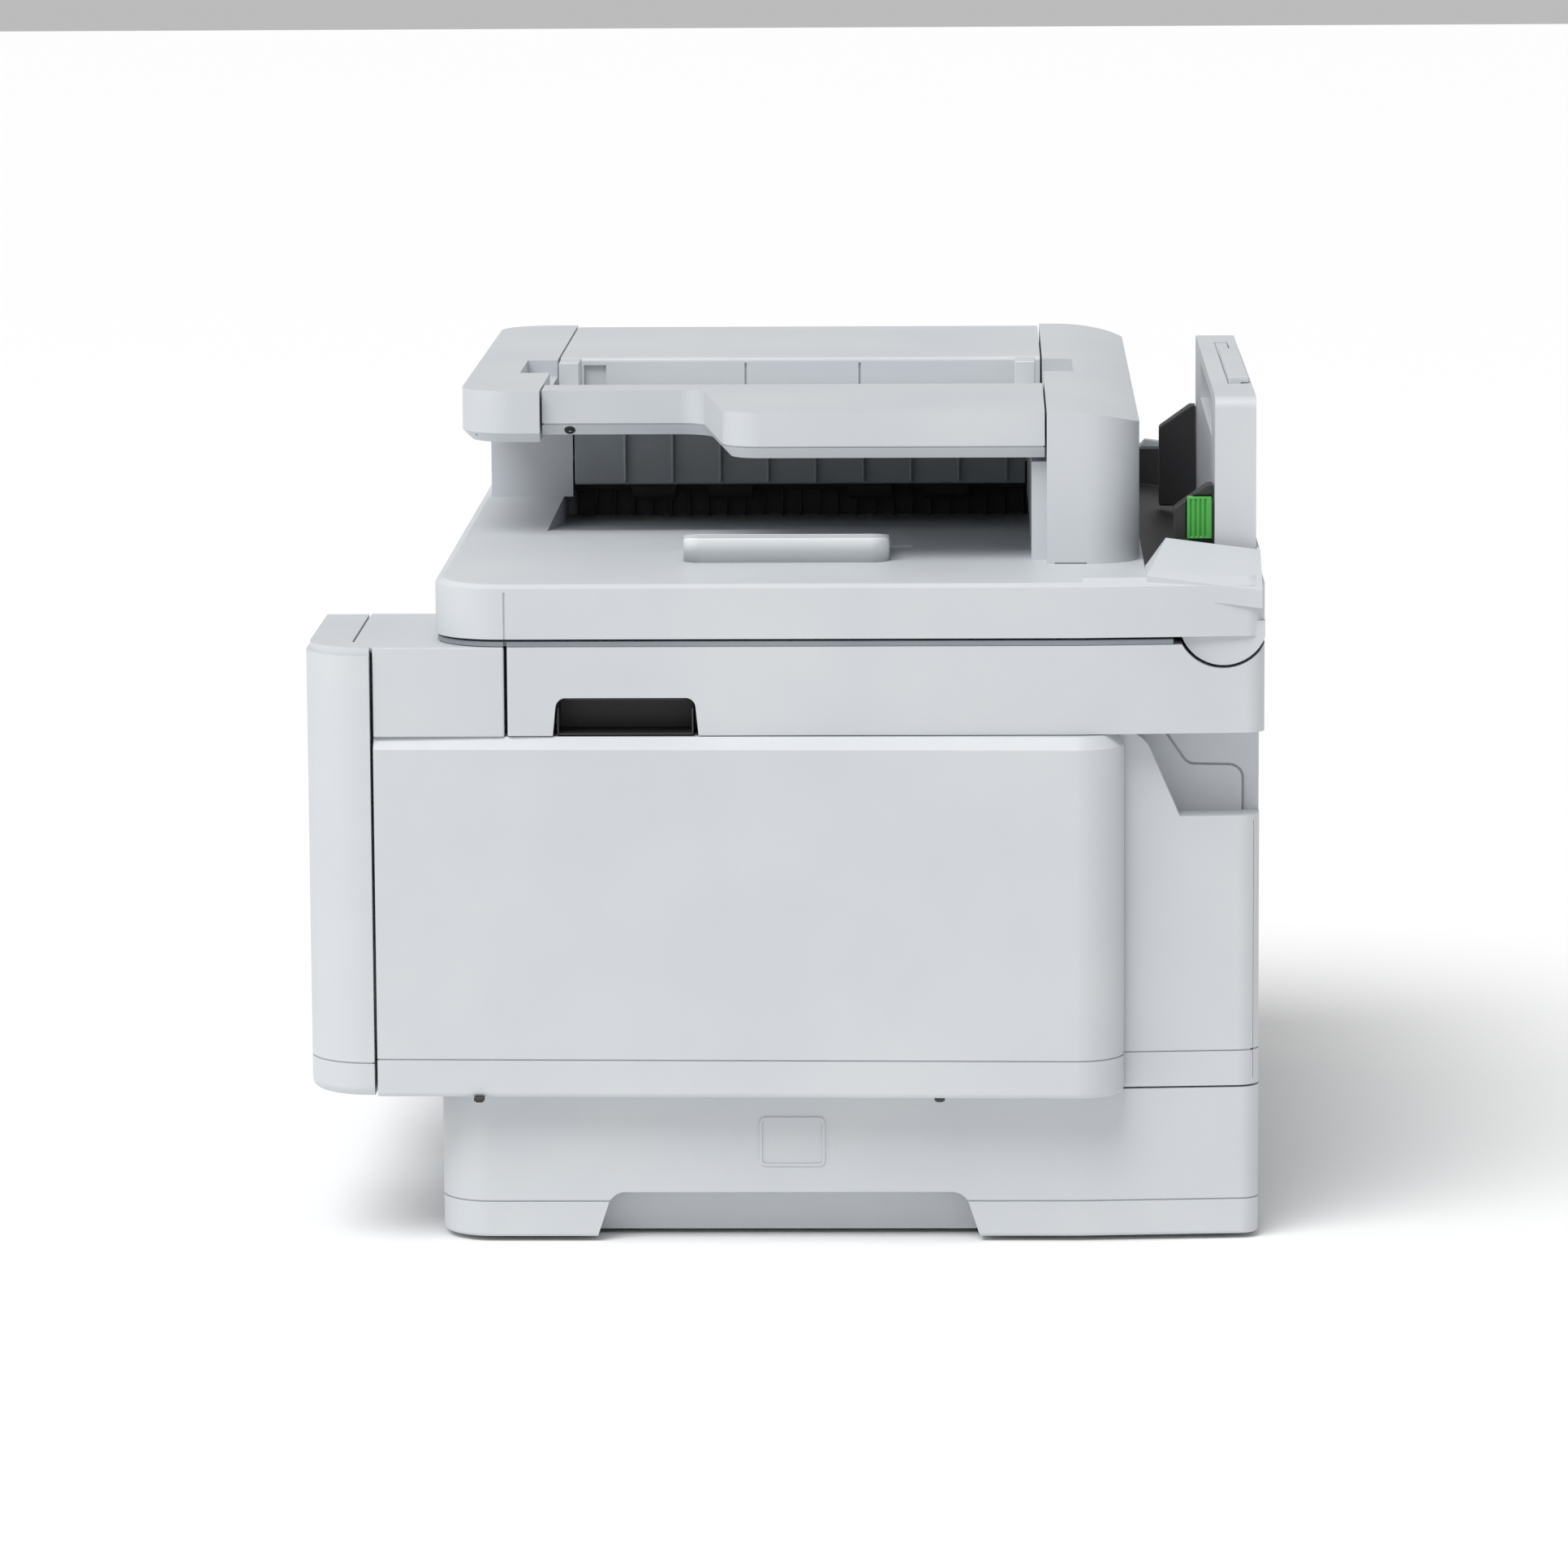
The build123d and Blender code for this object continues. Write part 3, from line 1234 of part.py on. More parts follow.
def paper_guide(inner_y, outward, label):
    """One sheet guide of the feeder: a fence with a thin foot that follows the tray."""
    low_far = tray_surface(guide_x[0]) + guide_rise
    low_near = tray_surface(guide_x[1]) + guide_rise
    with BuildPart() as guide:
        with BuildSketch(Plane.XZ.offset(-inner_y)):
            with BuildLine():
                Polyline((guide_x[0], low_far), (guide_x[1], low_near), (guide_x[1], guide_top),
                         (guide_x[0] + 4, guide_top), (guide_x[0], guide_top - 4), close=True)
            make_face()
        extrude(amount=-outward * guide_thick)
        with BuildSketch(Plane.XZ.offset(-inner_y)):
            with BuildLine():
                Polyline((guide_x[0], low_far), (guide_x[1], low_near), (guide_x[1], low_near + 1.6),
                         (guide_x[0], low_far + 1.6), close=True)
            make_face()
        extrude(amount=outward * guide_foot)
    finish(guide, label)


paper_guide(-a4_half, -1, "adf_guide_front")
paper_guide(a4_half, 1, "adf_guide_rear")

# ---- rear feed ---------------------------------------------------------------------
support_x = (-116, half - 60)
support_y = (pit_y[1] - 20.8, pit_y[1] - 0.2)
support_top = adf_top + 9
pit_floor = lid_top - 14
extension_x = (-70, half - 128)
extension_y = (support_y[0] + 9, support_y[0] + 15.5)
extension_tab_x = (2, extension_x[1] - 1)
window_x = (-23, extension_x[1] + 12)
window_z = (lid_top + 60, lid_top + 79)
with BuildPart() as feed_support:
    block(support_x, support_y, (pit_floor, support_top))
    fillet(feed_support.edges().filter_by(Axis.Y).group_by(Axis.Z)[-1], 6)
    cut((extension_x[0] - 0.6, extension_x[1] + 0.6), (extension_y[0] - 0.4, extension_y[1] + 0.4),
        (pit_floor + 5, support_top + 1))
    cut(window_x, (support_y[0] - 1, extension_y[0] + 1), window_z)
finish(feed_support, "feed_support")

with BuildPart() as feed_extension:
    block(extension_x, extension_y, (pit_floor + 6, support_top - 0.4))
    block(extension_tab_x, (extension_y[0], support_y[1] - 1.5), (support_top + 0.3, support_top + 3.5))
    block(extension_tab_x, extension_y, (support_top - 1, support_top + 1))
finish(feed_extension, "feed_extension")

with BuildPart() as feed_chute:
    with BuildSketch(Plane.YZ.offset(pit_x[0] + 0.5)):
        with BuildLine():
            Polyline((pit_y[0] + 0.5, pit_floor), (support_y[0] - 0.5, pit_floor),
                     (support_y[0] - 0.5, pit_floor + 2), (pit_y[0] + 0.5, pit_floor + 7), close=True)
        make_face()
    extrude(amount=pit_x[1] - pit_x[0] - 1)
    block((pit_x[0] + 0.5, pit_x[0] + 12), (pit_y[0] + 0.5, support_y[0] - 0.5), (pit_floor, lid_top + 12))
finish(feed_chute, "feed_chute")

feed_guide_thick = 13.5
near_guide_x = half - 87.5
far_guide_x = near_guide_x - a3_sheet - 1
feed_guide_y = (pit_y[0] + 15, support_y[0] - 0.5)
feed_guide_low = pit_floor + 7.6
near_guide_high = lid_top + 40
far_guide_high = lid_top + 48.5
lever_y = (feed_guide_y[0] + 6.5, feed_guide_y[1] - 0.8)
lever_z = (lid_top + 13, lid_top + 34)
lever_depth = 3.5
lever_travel = 1.5


def feed_fence(inner_x, outward, high):
    """One side guide of the rear feed, its front top corner cut back."""
    with BuildPart() as fence:
        with BuildSketch(Plane.YZ.offset(inner_x)):
            with BuildLine():
                Polyline(
                    (feed_guide_y[0], feed_guide_low),
                    (feed_guide_y[1], feed_guide_low),
                    (feed_guide_y[1], high),
                    (feed_guide_y[1] - 3, high),
                    (feed_guide_y[0], high - 12),
                    close=True,
                )
            make_face()
        extrude(amount=outward * feed_guide_thick)
    return fence.part


pocket_x = near_guide_x + feed_guide_thick - lever_depth - lever_travel - 0.4
with BuildPart() as feed_guide_near:
    add(feed_fence(near_guide_x, 1, near_guide_high))
    cut((pocket_x, near_guide_x + feed_guide_thick + 1), (lever_y[0] - 0.4, feed_guide_y[1] + 1),
        (lever_z[0] - 0.4, lever_z[1] + 0.4))
finish(feed_guide_near, "feed_guide_near")

with BuildPart() as feed_guide_far:
    add(feed_fence(far_guide_x, -1, far_guide_high))
finish(feed_guide_far, "feed_guide_far")

lever_x = near_guide_x + feed_guide_thick - lever_depth
with BuildPart() as feed_lever:
    block((lever_x, lever_x + lever_depth + 4.5), lever_y, lever_z)
    for stripe in range(4):
        y = lever_y[0] + 1.6 + stripe * 2.4
        cut((lever_x + lever_depth + 3.7, lever_x + lever_depth + 5), (y, y + 0.9),
            (lever_z[0] + 1, lever_z[1] - 1))
finish(feed_lever, "feed_lever")
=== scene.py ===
import json
import math

import bmesh
import bpy
from mathutils import Matrix, Vector


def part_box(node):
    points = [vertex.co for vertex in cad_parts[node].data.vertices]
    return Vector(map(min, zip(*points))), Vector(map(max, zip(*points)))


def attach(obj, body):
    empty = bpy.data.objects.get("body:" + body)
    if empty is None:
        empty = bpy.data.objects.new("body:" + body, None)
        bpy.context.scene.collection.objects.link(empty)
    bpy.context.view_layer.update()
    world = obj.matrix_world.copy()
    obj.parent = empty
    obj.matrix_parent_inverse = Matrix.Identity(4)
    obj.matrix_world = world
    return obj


bl_info = {
    "name": "Office photocopier",
    "version": (1, 0, 0),
    "blender": (4, 5, 0),
    "location": "3D View > Sidebar > Photocopier",
    "description": "Finishes and fine detail for an A3 desktop photocopier built round its packed CAD frame",
    "category": "Object",
}

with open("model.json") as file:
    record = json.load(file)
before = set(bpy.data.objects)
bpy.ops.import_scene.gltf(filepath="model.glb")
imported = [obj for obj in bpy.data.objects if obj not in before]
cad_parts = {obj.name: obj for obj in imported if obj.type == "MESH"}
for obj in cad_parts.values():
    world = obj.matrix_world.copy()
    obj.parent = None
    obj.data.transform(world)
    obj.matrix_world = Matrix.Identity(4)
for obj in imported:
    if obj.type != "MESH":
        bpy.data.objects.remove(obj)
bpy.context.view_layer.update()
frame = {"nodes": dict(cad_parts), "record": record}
NODES = frame["nodes"]
MM = 0.001
MELT_CLOUD_MM = 111.0
WELD_REACH = 0.01 * MM
SHARP_EDGE = math.radians(32)
DISC_STEPS = 32
FLOOR_HALF = 12.0
VIEW_AIM = (0.278, 0.0003, 0.23605)
CORNER_STEPS = 8


def span(node):
    """Lowest and highest corner of a CAD node."""
    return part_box(node)


# ---- materials ---------------------------------------------------------------------


def linear(code):
    """A colour written as sRGB hex, as linear red, green, blue and alpha."""
    values = [int(code[i:i + 2], 16) / 255 for i in (0, 2, 4)]
    return tuple(v / 12.92 if v <= 0.04045 else ((v + 0.055) / 1.055) ** 2.4 for v in values) + (1.0,)


def grow(tree, kind, settings=None, links=None):
    """Adds one node with its settings and its input links."""
    node = tree.nodes.new(kind)
    for name, value in (settings or {}).items():
        if isinstance(name, int) or name in node.inputs:
            node.inputs[name].default_value = value
        else:
            setattr(node, name, value)
    for name, source in (links or {}).items():
        tree.links.new(source, node.inputs[name])
    return node


def blank(name):
    """A new material with an empty tree, its surface shader and its output."""
    material = bpy.data.materials.new(name)
    material.use_nodes = True
    tree = material.node_tree
    tree.nodes.clear()
    shader = grow(tree, "ShaderNodeBsdfPrincipled")
    grow(tree, "ShaderNodeOutputMaterial", links={"Surface": shader.outputs[0]})
    return material, tree, shader


def place(tree):
    """The object's own coordinates, in metres."""
    return grow(tree, "ShaderNodeTexCoord").outputs["Object"]


def two_colours(tree, source, low, high, at):
    """A two-colour ramp over a grey pattern."""
    node = grow(tree, "ShaderNodeValToRGB", links={"Fac": source})
    for element, spot, code in zip(node.color_ramp.elements, at, (low, high)):
        element.position = spot
        element.color = linear(code)
    return node.outputs["Color"]


def two_values(tree, source, low, high, at):
    """A grey pattern mapped between two numbers."""
    limits = {"From Min": at[0], "From Max": at[1], "To Min": low, "To Max": high}
    return grow(tree, "ShaderNodeMapRange", limits, {"Value": source}).outputs[0]


def noise(tree, spot, cell_mm, detail, rough=0.5):
    """Cloudy noise whose lumps are about cell_mm across."""
    settings = {"Scale": 1 / (cell_mm * MM), "Detail": detail, "Roughness": rough}
    return grow(tree, "ShaderNodeTexNoise", settings, {"Vector": spot}).outputs[0]


def dress(tree, shader, colours, rough, pattern, cloud=None, at=(0.35, 0.65)):
    """Colour and roughness of a surface, each varying between two values with a pattern."""
    tint = two_colours(tree, pattern if cloud is None else cloud, colours[0], colours[1], at)
    tree.links.new(tint, shader.inputs["Base Color"])
    tree.links.new(two_values(tree, pattern, rough[0], rough[1], at), shader.inputs["Roughness"])


def relief(tree, shader, pattern, depth_mm, strength=1.0):
    """The same pattern as fine relief, depth_mm high."""
    settings = {"Strength": strength, "Distance": depth_mm * MM}
    bump = grow(tree, "ShaderNodeBump", settings, {"Height": pattern})
    tree.links.new(bump.outputs[0], shader.inputs["Normal"])


def spark_eroded(name, light, dark, rough, grain_mm, depth_mm, ior=1.53):
    """Injection moulded plastic with the fine sand-like texture that spark erosion leaves in the mould:
    an even matt skin, a little cloudier where the melt cooled slower, with soft small highlights.
    The real grain is under 0.1 mm, and is drawn about ten times coarser so that it shows."""
    material, tree, shader = blank(name)
    spot = place(tree)
    grain = noise(tree, spot, grain_mm, 2.0, 0.6)
    cloud = noise(tree, spot, MELT_CLOUD_MM, 3.0, 0.55)
    dress(tree, shader, (dark, light), (rough - 0.05, rough + 0.05), grain, cloud)
    relief(tree, shader, grain, depth_mm)
    shader.inputs["IOR"].default_value = ior
    return material


def rolled_steel(name, light, dark, rough, streak_mm):
    """Steel drawn or rolled one way: fine streaks along X, and a faint grey bloom from the zinc."""
    material, tree, shader = blank(name)
    along = tuple(1 / (size * MM) for size in streak_mm)
    stretch = grow(tree, "ShaderNodeMapping", {"Scale": along}, {"Vector": place(tree)})
    settings = {"Scale": 1.0, "Detail": 5.0}
    streak = grow(tree, "ShaderNodeTexNoise", settings, {"Vector": stretch.outputs[0]}).outputs[0]
    dress(tree, shader, (dark, light), (rough - 0.08, rough + 0.08), streak)
    relief(tree, shader, streak, 0.02, 0.4)
    shader.inputs["Metallic"].default_value = 1.0
    return material


def nitrile(name):
    """Ground nitrile rubber: near black, dull, with a fine ground grain that grips the paper."""
    material, tree, shader = blank(name)
    grain = noise(tree, place(tree), 0.8, 3.0)
    dress(tree, shader, ("1A1A1B", "2A2A2C"), (0.72, 0.88), grain)
    relief(tree, shader, grain, 0.08)
    shader.inputs["IOR"].default_value = 1.52
    return material


def float_glass(name):
    """Float glass: clear, flat and faintly green, with mirror-sharp reflections."""
    material, tree, shader = blank(name)
    dress(tree, shader, ("DCE8E6", "EAF2F1"), (0.01, 0.05), noise(tree, place(tree), 71.0, 4.0))
    shader.inputs["Transmission Weight"].default_value = 1.0
    shader.inputs["IOR"].default_value = 1.52
    return material


def panel_acrylic(name):
    """Hard-coated acrylic over a dark display: deep black, glossy, with a faint film of handling."""
    material, tree, shader = blank(name)
    dress(tree, shader, ("08090B", "101216"), (0.06, 0.16), noise(tree, place(tree), 22.0, 5.0, 0.6))
    shader.inputs["IOR"].default_value = 1.49
    shader.inputs["Coat Weight"].default_value = 0.5
    return material


def circuit_laminate(name):
    """Glass-epoxy board under green solder resist: a semi-gloss green with a fine weave showing through."""
    material, tree, shader = blank(name)
    dress(tree, shader, ("12512A", "1B6A38"), (0.3, 0.45), noise(tree, place(tree), 1.2, 2.0))
    return material


def foam_sheet(name):
    """White film over polyurethane foam: matt, slightly dimpled by the cells below, about 2.5 mm apart."""
    material, tree, shader = blank(name)
    cells = grow(tree, "ShaderNodeTexVoronoi", {"Scale": 1 / (2.5 * MM)}, {"Vector": place(tree)}).outputs[0]
    dress(tree, shader, ("E6E6E3", "F2F2F0"), (0.55, 0.7), cells, at=(0.1, 0.7))
    relief(tree, shader, cells, 0.15, 0.6)
    return material


INKS = {
    "black": ("232326", "1A1A1D"), "cyan": ("1B9BD1", "168BC0"),
    "magenta": ("C92B7B", "B9246F"), "yellow": ("EBCB1F", "DDBC15"),
}


def make_materials(colours):
    """Every finish on the machine, by its name."""
    shell = (colours.shell_light, colours.shell_dark)
    return {
        # matt mouldings: an even skin that shows form by soft shading rather than by gloss
        "shell": spark_eroded("ABS moulded cool white", *shell, 0.46, 1.1, 0.035),
        # pale: a lighter copy of the shell moulding, used as a painted highlight on the sheet stop bump
        "pale": spark_eroded("ABS shell lighter copy painted highlight", "E9EBEC", "E3E6E8", 0.4, 1.1, 0.03),
        "grey": spark_eroded("ABS moulded mid grey", "8E959B", "838A90", 0.42, 1.1, 0.03),
        "rib_grey": spark_eroded("ABS moulded slate grey", "9AA0A5", "90969B", 0.5, 1.1, 0.03),
        "dark": spark_eroded("ABS moulded charcoal", "333234", "29282A", 0.5, 1.0, 0.04),
        "key": spark_eroded("ABS moulded key grey", "7C8288", "70767C", 0.4, 0.9, 0.02),
        # smoother, slightly waxy mouldings: a tighter highlight on handled or sliding parts
        "green": spark_eroded("POM moulded green", "55B452", "47A245", 0.34, 1.0, 0.02, 1.48),
        "ink": spark_eroded("polypropylene moulded black", "1C1C1F", "131315", 0.3, 1.4, 0.02, 1.49),
        **{
            "mark_" + ink: spark_eroded("polypropylene label " + ink, *shades, 0.35, 1.2, 0.01, 1.49)
            for ink, shades in INKS.items()
        },
        # metals: streaked dull sheet, and brighter ground bars
        "sheet": rolled_steel("zinc-plated steel rolled", "C2C4C6", "9DA0A3", 0.38, (33.3, 1.11, 1.11)),
        "bar": rolled_steel("steel ground", "C8C9CB", "A4A6A8", 0.28, (16.7, 0.556, 0.556)),
        "rubber": nitrile("nitrile rubber ground"),
        "glass": float_glass("float glass"),
        "acrylic": panel_acrylic("acrylic hard-coated"),
        "board": circuit_laminate("glass-epoxy laminate green"),
        "foam": foam_sheet("polyurethane foam with white film"),
    }


FINISHES = {
    "abs_shell": "shell", "abs_tray": "shell", "abs_grey": "grey", "abs_dark": "dark",
    "steel_sheet": "sheet", "steel_bar": "bar", "rubber_black": "rubber", "float_glass": "glass",
    "panel_glass": "acrylic", "backing_foam": "foam", "lever_green": "green", "ink_tank": "ink",
    "circuit_board": "board", "key_grey": "key",
}
OWN_FINISH = {"adf_inner_wall": "rib_grey"}
MATERIALS = {}


def paint(obj, key):
    """Gives an object one finish."""
    obj.data.materials.clear()
    obj.data.materials.append(MATERIALS[key])


# ---- settings ----------------------------------------------------------------------


class CopierColours(bpy.types.PropertyGroup):
    shell_light: bpy.props.StringProperty(
        name="Shell, light", description="sRGB hex of the pale housing where it is lightest",
        default="CACED1")
    shell_dark: bpy.props.StringProperty(
        name="Shell, dark", description="sRGB hex of the pale housing where it is darkest",
        default="C5C9CE")
    floor: bpy.props.StringProperty(
        name="Floor", description="sRGB hex of the studio floor", default="F7F7F7")


class CopierSizes(bpy.types.PropertyGroup):
    edge_round: bpy.props.FloatProperty(
        name="Edge rounding", description="Radius left on the outer edges of the mouldings",
        default=0.8 * MM, unit="LENGTH")


class CopierView(bpy.types.PropertyGroup):
    distance: bpy.props.FloatProperty(
        name="Distance", description="From the camera to the middle of the machine's near side",
        default=3.7029, unit="LENGTH")
    azimuth: bpy.props.FloatProperty(
        name="Azimuth", description="Direction of view: 90 looks at the machine's right side",
        default=math.radians(91.538), subtype="ANGLE")
    elevation: bpy.props.FloatProperty(
        name="Elevation", description="Height of the camera above the horizon",
        default=math.radians(8.6656), subtype="ANGLE")
    roll: bpy.props.FloatProperty(
        name="Roll", description="Turn of the camera about its line of sight",
        default=math.radians(-0.3522), subtype="ANGLE")
    lens: bpy.props.FloatProperty(
        name="Lens", description="Focal length on a 36 mm sensor, in millimetres", default=170.5)


# ---- operators ---------------------------------------------------------------------


class MOULD_OT_finishes(bpy.types.Operator):
    """Gives every CAD node its finish and softens its moulded edges"""
    bl_idname = "copier.finishes"
    bl_label = "Finishes"

    def execute(self, context):
        scene = context.scene
        MATERIALS.update(make_materials(scene.copier_colours))
        slots = {part["node"]: part["material_slot"] for part in frame["record"]["subparts"]}
        for name, node in NODES.items():
            paint(node, OWN_FINISH.get(name, FINISHES[slots[name]]))
            weld = node.modifiers.new("weld", "WELD")
            weld.merge_threshold = WELD_REACH
            moulded = slots[name] != "float_glass"
            if moulded:
                soft = node.modifiers.new("edge", "BEVEL")
                soft.width = scene.copier_sizes.edge_round
                soft.segments = 2
                soft.limit_method = "ANGLE"
                soft.angle_limit = SHARP_EDGE
                even = node.modifiers.new("even", "WEIGHTED_NORMAL")
                even.keep_sharp = True
                even.weight = 100
            for polygon in node.data.polygons:
                polygon.use_smooth = moulded
        return {"FINISHED"}


def solid(name, blocks, round_mm, finish, body):
    """One moulding from several overlapping blocks of (low, high) corners, its edges rounded."""
    mesh = bmesh.new()
    for low, high in blocks:
        middle = [(a + b) / 2 for a, b in zip(low, high)]
        size = [b - a for a, b in zip(low, high)]
        matrix = Matrix.Translation(middle) @ Matrix.Diagonal((*size, 1.0))
        bmesh.ops.create_cube(mesh, size=1.0, matrix=matrix)
    bmesh.ops.bevel(mesh, geom=mesh.edges[:], offset=round_mm * MM, segments=2, profile=0.6, affect="EDGES")
    return piece(name, mesh, finish, body)


def piece(name, mesh, finish, body):
    """Makes a mesh into an object that rides on a body."""
    data = bpy.data.meshes.new(name)
    mesh.to_mesh(data)
    mesh.free()
    obj = bpy.data.objects.new(name, data)
    bpy.context.scene.collection.objects.link(obj)
    for polygon in data.polygons:
        polygon.use_smooth = True
    keep = obj.modifiers.new("even", "WEIGHTED_NORMAL")
    keep.keep_sharp = True
    paint(obj, finish)
    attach(obj, body)
    return obj


def skin(mesh, loops):
    """Joins closed loops of vertices, one over the other, into a closed skin."""
    for lower, upper in zip(loops, loops[1:]):
        for step in range(len(lower)):
            after = (step + 1) % len(lower)
            mesh.faces.new((lower[step], lower[after], upper[after], upper[step]))
    mesh.faces.new(loops[-1])
    mesh.faces.new(list(reversed(loops[0])))


def disc(mesh, centre, radius, height, axis, dish):
    """A round button with a shallow dish in its free face, added to a mesh."""
    turn = Vector((0, 0, 1)).rotation_difference(Vector(axis)).to_matrix().to_4x4()
    rings = ((0.0, radius), (height - 0.2 * radius, radius), (height, radius * 0.86), (height, radius * 0.55),
             (height - dish, radius * 0.3))
    loops = []
    for up, wide in rings:
        loop = []
        for step in range(DISC_STEPS):
            angle = math.tau * step / DISC_STEPS
            spot = turn @ Vector((wide * math.cos(angle), wide * math.sin(angle), up))
            loop.append(mesh.verts.new(spot + Vector(centre)))
        loops.append(loop)
    skin(mesh, loops)


class EXIT_OT_lining(bpy.types.Operator):
    """The dark ribbed chute behind the slot where fed documents come out"""
    bl_idname = "copier.exit_lining"
    bl_label = "Exit chute"

    def execute(self, context):
        low, high = span("adf_inner_wall")
        shelf_rise, reach, height = 15.3 * MM, 39 * MM, 8 * MM
        back_wall, floor_thick, lap = 2.4 * MM, 1.2 * MM, 1 * MM
        rib_pitch, rib_half, rib_depth = 10.2 * MM, 0.45 * MM, 8 * MM
        floor = span("lid_shell")[0][2] + shelf_rise
        back = low[0] - reach
        top = low[2] + height
        near = high[0] + 6 * MM
        blocks = [
            ((back, low[1] - lap, floor), (back + back_wall, high[1] + lap, top)),
            ((back + lap, low[1] - lap, floor), (near, high[1] + lap, floor + floor_thick)),
        ]
        for rib in range(int((high[1] - low[1]) / rib_pitch) + 1):
            y = low[1] + rib * rib_pitch
            blocks.append(((back + lap, y - rib_half, floor), (back + rib_depth, y + rib_half, top)))
        solid("exit_chute", blocks, 0.15, "dark", "document_cover")
        return {"FINISHED"}


class PULL_OT_painted_shade(bpy.types.Operator):
    """Dark charcoal sheets in the finger hollows of the scanner's sides, open to the outside: painted shade
    that stands in for the shadow inside the hollows
    """
    bl_idname = "copier.pull_lining"
    bl_label = "Finger hollow painted shade"

    def execute(self, context):
        high = span("scanner_frame")[1]
        frame_height, thick, corner = 44.5 * MM, 0.8 * MM, 4.5 * MM
        floor = high[2] - frame_height
        base = floor + 0.3 * MM
        back, face = high[0] - 24.8 * MM, high[0] - 1.2 * MM
        front, rear = -112.7 * MM, -44.7 * MM
        roof_low, roof_high, side_top = floor + 17.9 * MM, floor + 18.7 * MM, floor + 13.5 * MM
        blocks = [
            ((back, front, base), (back + thick, rear, floor + 18.6 * MM)),
            ((back, front, base), (face, rear, base + thick)),
            ((back, front + corner, roof_low), (face, rear - corner, roof_high)),
            ((back, front, base), (face, front + thick, side_top)),
            ((back, rear - thick, base), (face, rear, side_top)),
        ]
        mirrored = [((-b[0], a[1], a[2]), (-a[0], b[1], b[2])) for a, b in blocks]
        # dark sheets lining both hollows: painted shade where the hollows fall in shadow
        solid("pull_painted_shade_right", blocks, 0.15, "dark", "scanner_unit")
        solid("pull_painted_shade_left", mirrored, 0.15, "dark", "scanner_unit")
        return {"FINISHED"}


class STOP_OT_painted_highlight(bpy.types.Operator):
    """A thin paler skin over the bump that stops the fed sheets: a lighter copy of the shell moulding, a
    painted highlight where the bump is lit
    """
    bl_idname = "copier.stop_cap"
    bl_label = "Sheet stop painted highlight"

    def execute(self, context):
        base = span("adf_housing")[0][2]
        skin_out = 0.2 * MM
        low_x, high_x, half_y = 150 * MM - skin_out, 206 * MM + skin_out, 52 * MM + skin_out
        far_rise, near_gain = 6.0 * MM, 8.5 * MM
        corner, edge = 9 * MM, 3.2 * MM
        corners = ((1, -1, -90), (1, 1, 0), (-1, 1, 90), (-1, -1, 180))
        # how far in from the side and down from the top each loop lies: the foot, then round the edge
        turns = [math.radians(quarter) for quarter in (0, 22.5, 45, 67.5, 90)]
        levels = [(0.0, None)] + [(edge * (1 - math.cos(a)), edge * (1 - math.sin(a))) for a in turns]
        mesh = bmesh.new()
        loops = []
        for inset, drop in levels:
            loop = []
            radius = corner - inset * 0.6
            for side_x, side_y, start in corners:
                middle_x = high_x - inset - radius if side_x > 0 else low_x + inset + radius
                middle_y = side_y * (half_y - inset - radius)
                for step in range(CORNER_STEPS + 1):
                    angle = math.radians(start + step * 90 / CORNER_STEPS)
                    x = middle_x + radius * math.cos(angle)
                    y = middle_y + radius * math.sin(angle)
                    top = base + far_rise + near_gain * (x - low_x) / (high_x - low_x) + skin_out
                    loop.append(mesh.verts.new((x, y, base - skin_out if drop is None else top - drop)))
            loops.append(loop)
        skin(mesh, loops)
        # paler skin over the bump: painted highlight on the lit bump
        piece("stop_cap", mesh, "pale", "document_cover")
        return {"FINISHED"}


class FITTING_OT_small(bpy.types.Operator):
    """Small fittings: the side cover's latches, the tray's bumper and the stop rib"""
    bl_idname = "copier.fittings"
    bl_label = "Small fittings"

    def execute(self, context):
        cover_low, cover_high = span("right_side_cover")
        outer, under = cover_high[0], cover_low[2]
        for name, y in (("front", -153.5 * MM), ("rear", 77.5 * MM)):
            hook = [
                ((outer - 9 * MM, y - 2.6 * MM, under - 1.4 * MM),
                 (outer - 3.4 * MM, y + 2.6 * MM, under + 0.6 * MM)),
                ((outer - 8 * MM, y - 1.8 * MM, under - 2.2 * MM),
                 (outer - 4.4 * MM, y + 1.8 * MM, under - 1.2 * MM)),
            ]
            solid("cover_latch_" + name, hook, 0.3, "dark", "machine")

        # on the bevel under the tray's near edge
        bumper_at = (87.3 * MM, -115.3 * MM, span("adf_tray")[0][2] + 2.6 * MM)
        bumper = bmesh.new()
        disc(bumper, bumper_at, 3 * MM, 0.7 * MM, (1, 0, -1), 0.4 * MM)
        piece("tray_bumper", bumper, "rubber", "adf_tray")

        foot = span("adf_housing")[0][2] - 0.4 * MM
        rib = [
            ((137.5 * MM, 49.5 * MM, foot), (142.5 * MM, 63.5 * MM, foot + 1.3 * MM)),
            ((137.5 * MM, 49.5 * MM, foot), (142.5 * MM, 52.5 * MM, foot + 1.7 * MM)),
        ]
        solid("stop_rib", rib, 0.3, "shell", "document_cover")
        return {"FINISHED"}


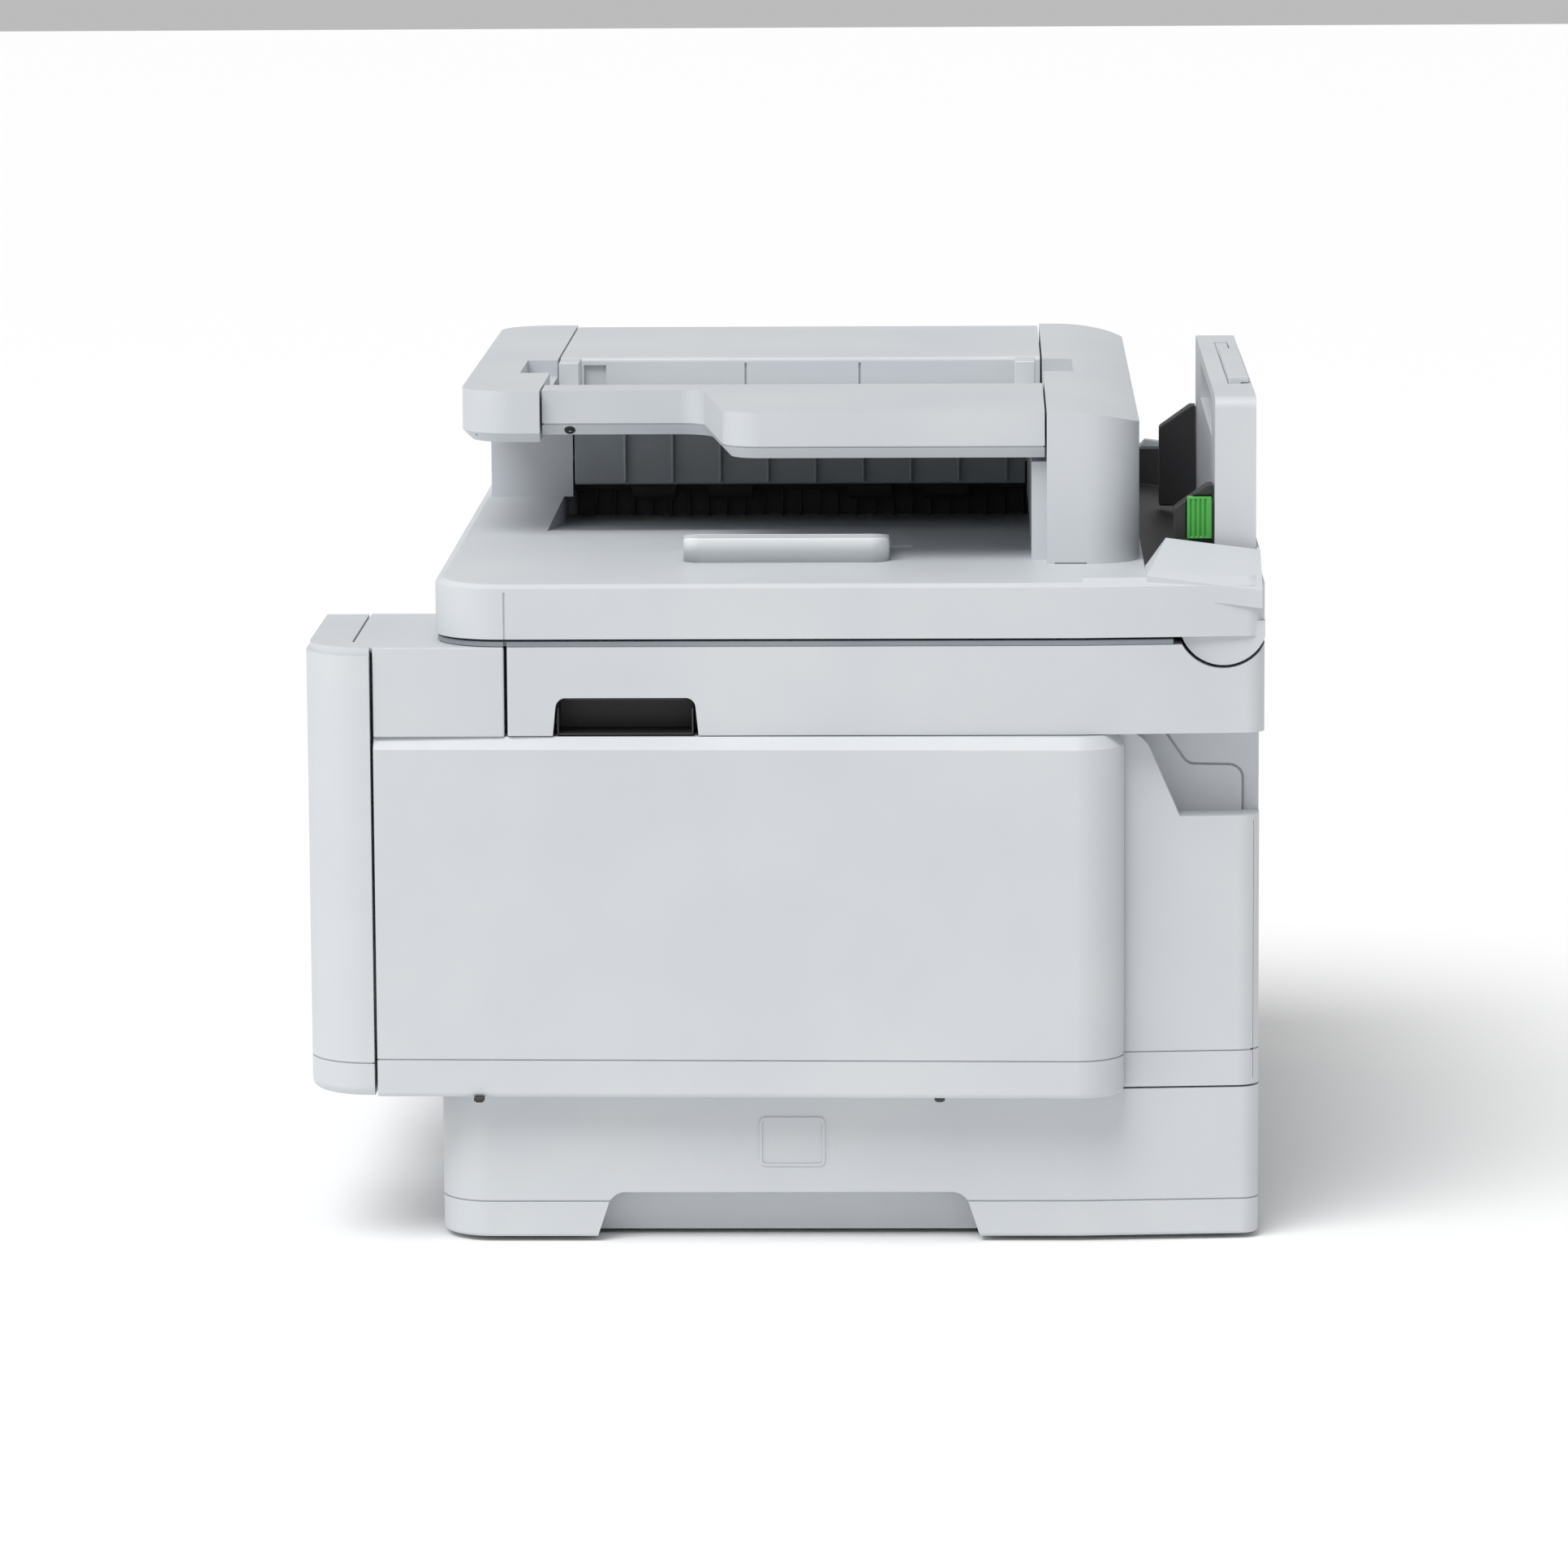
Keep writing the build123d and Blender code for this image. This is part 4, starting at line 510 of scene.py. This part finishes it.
class INK_OT_marks(bpy.types.Operator):
    """A coloured mark on the end of each ink cartridge"""
    bl_idname = "copier.ink_marks"
    bl_label = "Ink marks"

    def execute(self, context):
        low, high = span("ink_cartridges")
        cartridge_gap, inset, wide = 4 * MM, 4.5 * MM, 13 * MM
        pitch = (high[0] - low[0] + cartridge_gap) / len(INKS)
        face, base = low[1], low[2]
        for slot, ink in enumerate(INKS):
            x = low[0] + slot * pitch + inset
            mark = [
                ((x, face - 0.5 * MM, base + 22 * MM), (x + wide, face + 0.4 * MM, base + 56 * MM)),
                ((x + 2.5 * MM, face - 1.6 * MM, base + 8 * MM),
                 (x + wide - 2.5 * MM, face + 0.4 * MM, base + 16 * MM)),
            ]
            solid("ink_mark_" + ink, mark, 0.35, "mark_" + ink, "machine")
        return {"FINISHED"}


class STAGE_OT_studio(bpy.types.Operator):
    """Pale floor, soft lights and the camera"""
    bl_idname = "copier.studio"
    bl_label = "Studio"

    def execute(self, context):
        scene = context.scene
        view = scene.copier_view
        floor_mesh = bpy.data.meshes.new("studio_floor")
        corners = [(x * FLOOR_HALF, y * FLOOR_HALF, 0) for x, y in ((-1, -1), (1, -1), (1, 1), (-1, 1))]
        floor_mesh.from_pydata(corners, [], [(0, 1, 2, 3)])
        floor = bpy.data.objects.new("studio_floor", floor_mesh)
        scene.collection.objects.link(floor)
        material, tree, shader = blank("painted studio floor")
        shader.inputs["Base Color"].default_value = linear(scene.copier_colours.floor)
        shader.inputs["Roughness"].default_value = 0.9
        floor.data.materials.append(material)

        world = bpy.data.worlds.new("studio")
        scene.world = world
        world.use_nodes = True
        sky = world.node_tree.nodes["Background"]
        sky.inputs["Color"].default_value = (1.0, 1.0, 1.0, 1.0)
        sky.inputs["Strength"].default_value = 0.5
        scene.view_settings.view_transform = "Standard"

        sun = bpy.data.lights.new("overhead_softbox", "SUN")
        sun.energy = 2.2
        sun.angle = math.radians(38)
        self.hang(scene, "overhead_softbox", sun, (1.1, -0.75, 2.3), (0.0, 0.0, 0.2))
        front = bpy.data.lights.new("front_softbox", "AREA")
        front.size = 2.4
        front.energy = 14
        self.hang(scene, "front_softbox", front, (1.2, -3.0, 1.6), (0.1, 0.0, 0.2))

        camera = bpy.data.cameras.new("view")
        camera.lens = view.lens
        camera.sensor_width = 36
        camera.clip_end = 100
        holder = bpy.data.objects.new("view", camera)
        scene.collection.objects.link(holder)
        away = Vector((
            math.cos(view.elevation) * math.sin(view.azimuth),
            -math.cos(view.elevation) * math.cos(view.azimuth),
            math.sin(view.elevation),
        ))
        holder.location = Vector(VIEW_AIM) + away * view.distance
        turn = (-away).to_track_quat("-Z", "Y").to_matrix().to_4x4()
        holder.rotation_euler = (turn @ Matrix.Rotation(view.roll, 4, "Z")).to_euler()
        scene.camera = holder
        return {"FINISHED"}

    def hang(self, scene, name, light, spot, aim):
        """Puts one lamp up, turned towards its aim."""
        holder = bpy.data.objects.new(name, light)
        holder.location = spot
        holder.rotation_euler = (Vector(aim) - Vector(spot)).to_track_quat("-Z", "Y").to_euler()
        scene.collection.objects.link(holder)


class VIEW3D_PT_copier(bpy.types.Panel):
    """Lists the steps in the sidebar"""
    bl_label = "Photocopier"
    bl_idname = "VIEW3D_PT_copier"
    bl_space_type = "VIEW_3D"
    bl_region_type = "UI"
    bl_category = "Photocopier"

    def draw(self, context):
        for step in STEPS:
            self.layout.operator(step.bl_idname)


SETTINGS = {"copier_colours": CopierColours, "copier_sizes": CopierSizes, "copier_view": CopierView}
STEPS = (MOULD_OT_finishes, EXIT_OT_lining, PULL_OT_painted_shade, STOP_OT_painted_highlight, FITTING_OT_small, INK_OT_marks,
         STAGE_OT_studio)


def register():
    for group in SETTINGS.values():
        bpy.utils.register_class(group)
    for step in STEPS:
        bpy.utils.register_class(step)
    bpy.utils.register_class(VIEW3D_PT_copier)
    for name, group in SETTINGS.items():
        setattr(bpy.types.Scene, name, bpy.props.PointerProperty(type=group))


def unregister():
    for name in SETTINGS:
        delattr(bpy.types.Scene, name)
    bpy.utils.unregister_class(VIEW3D_PT_copier)
    for step in reversed(STEPS):
        bpy.utils.unregister_class(step)
    for group in SETTINGS.values():
        bpy.utils.unregister_class(group)


def main():
    register()
    bpy.ops.copier.finishes()
    bpy.ops.copier.exit_lining()
    bpy.ops.copier.pull_lining()
    bpy.ops.copier.stop_cap()
    bpy.ops.copier.fittings()
    bpy.ops.copier.ink_marks()
    bpy.ops.copier.studio()
    bpy.context.view_layer.update()


if __name__ == "__main__":
    main()
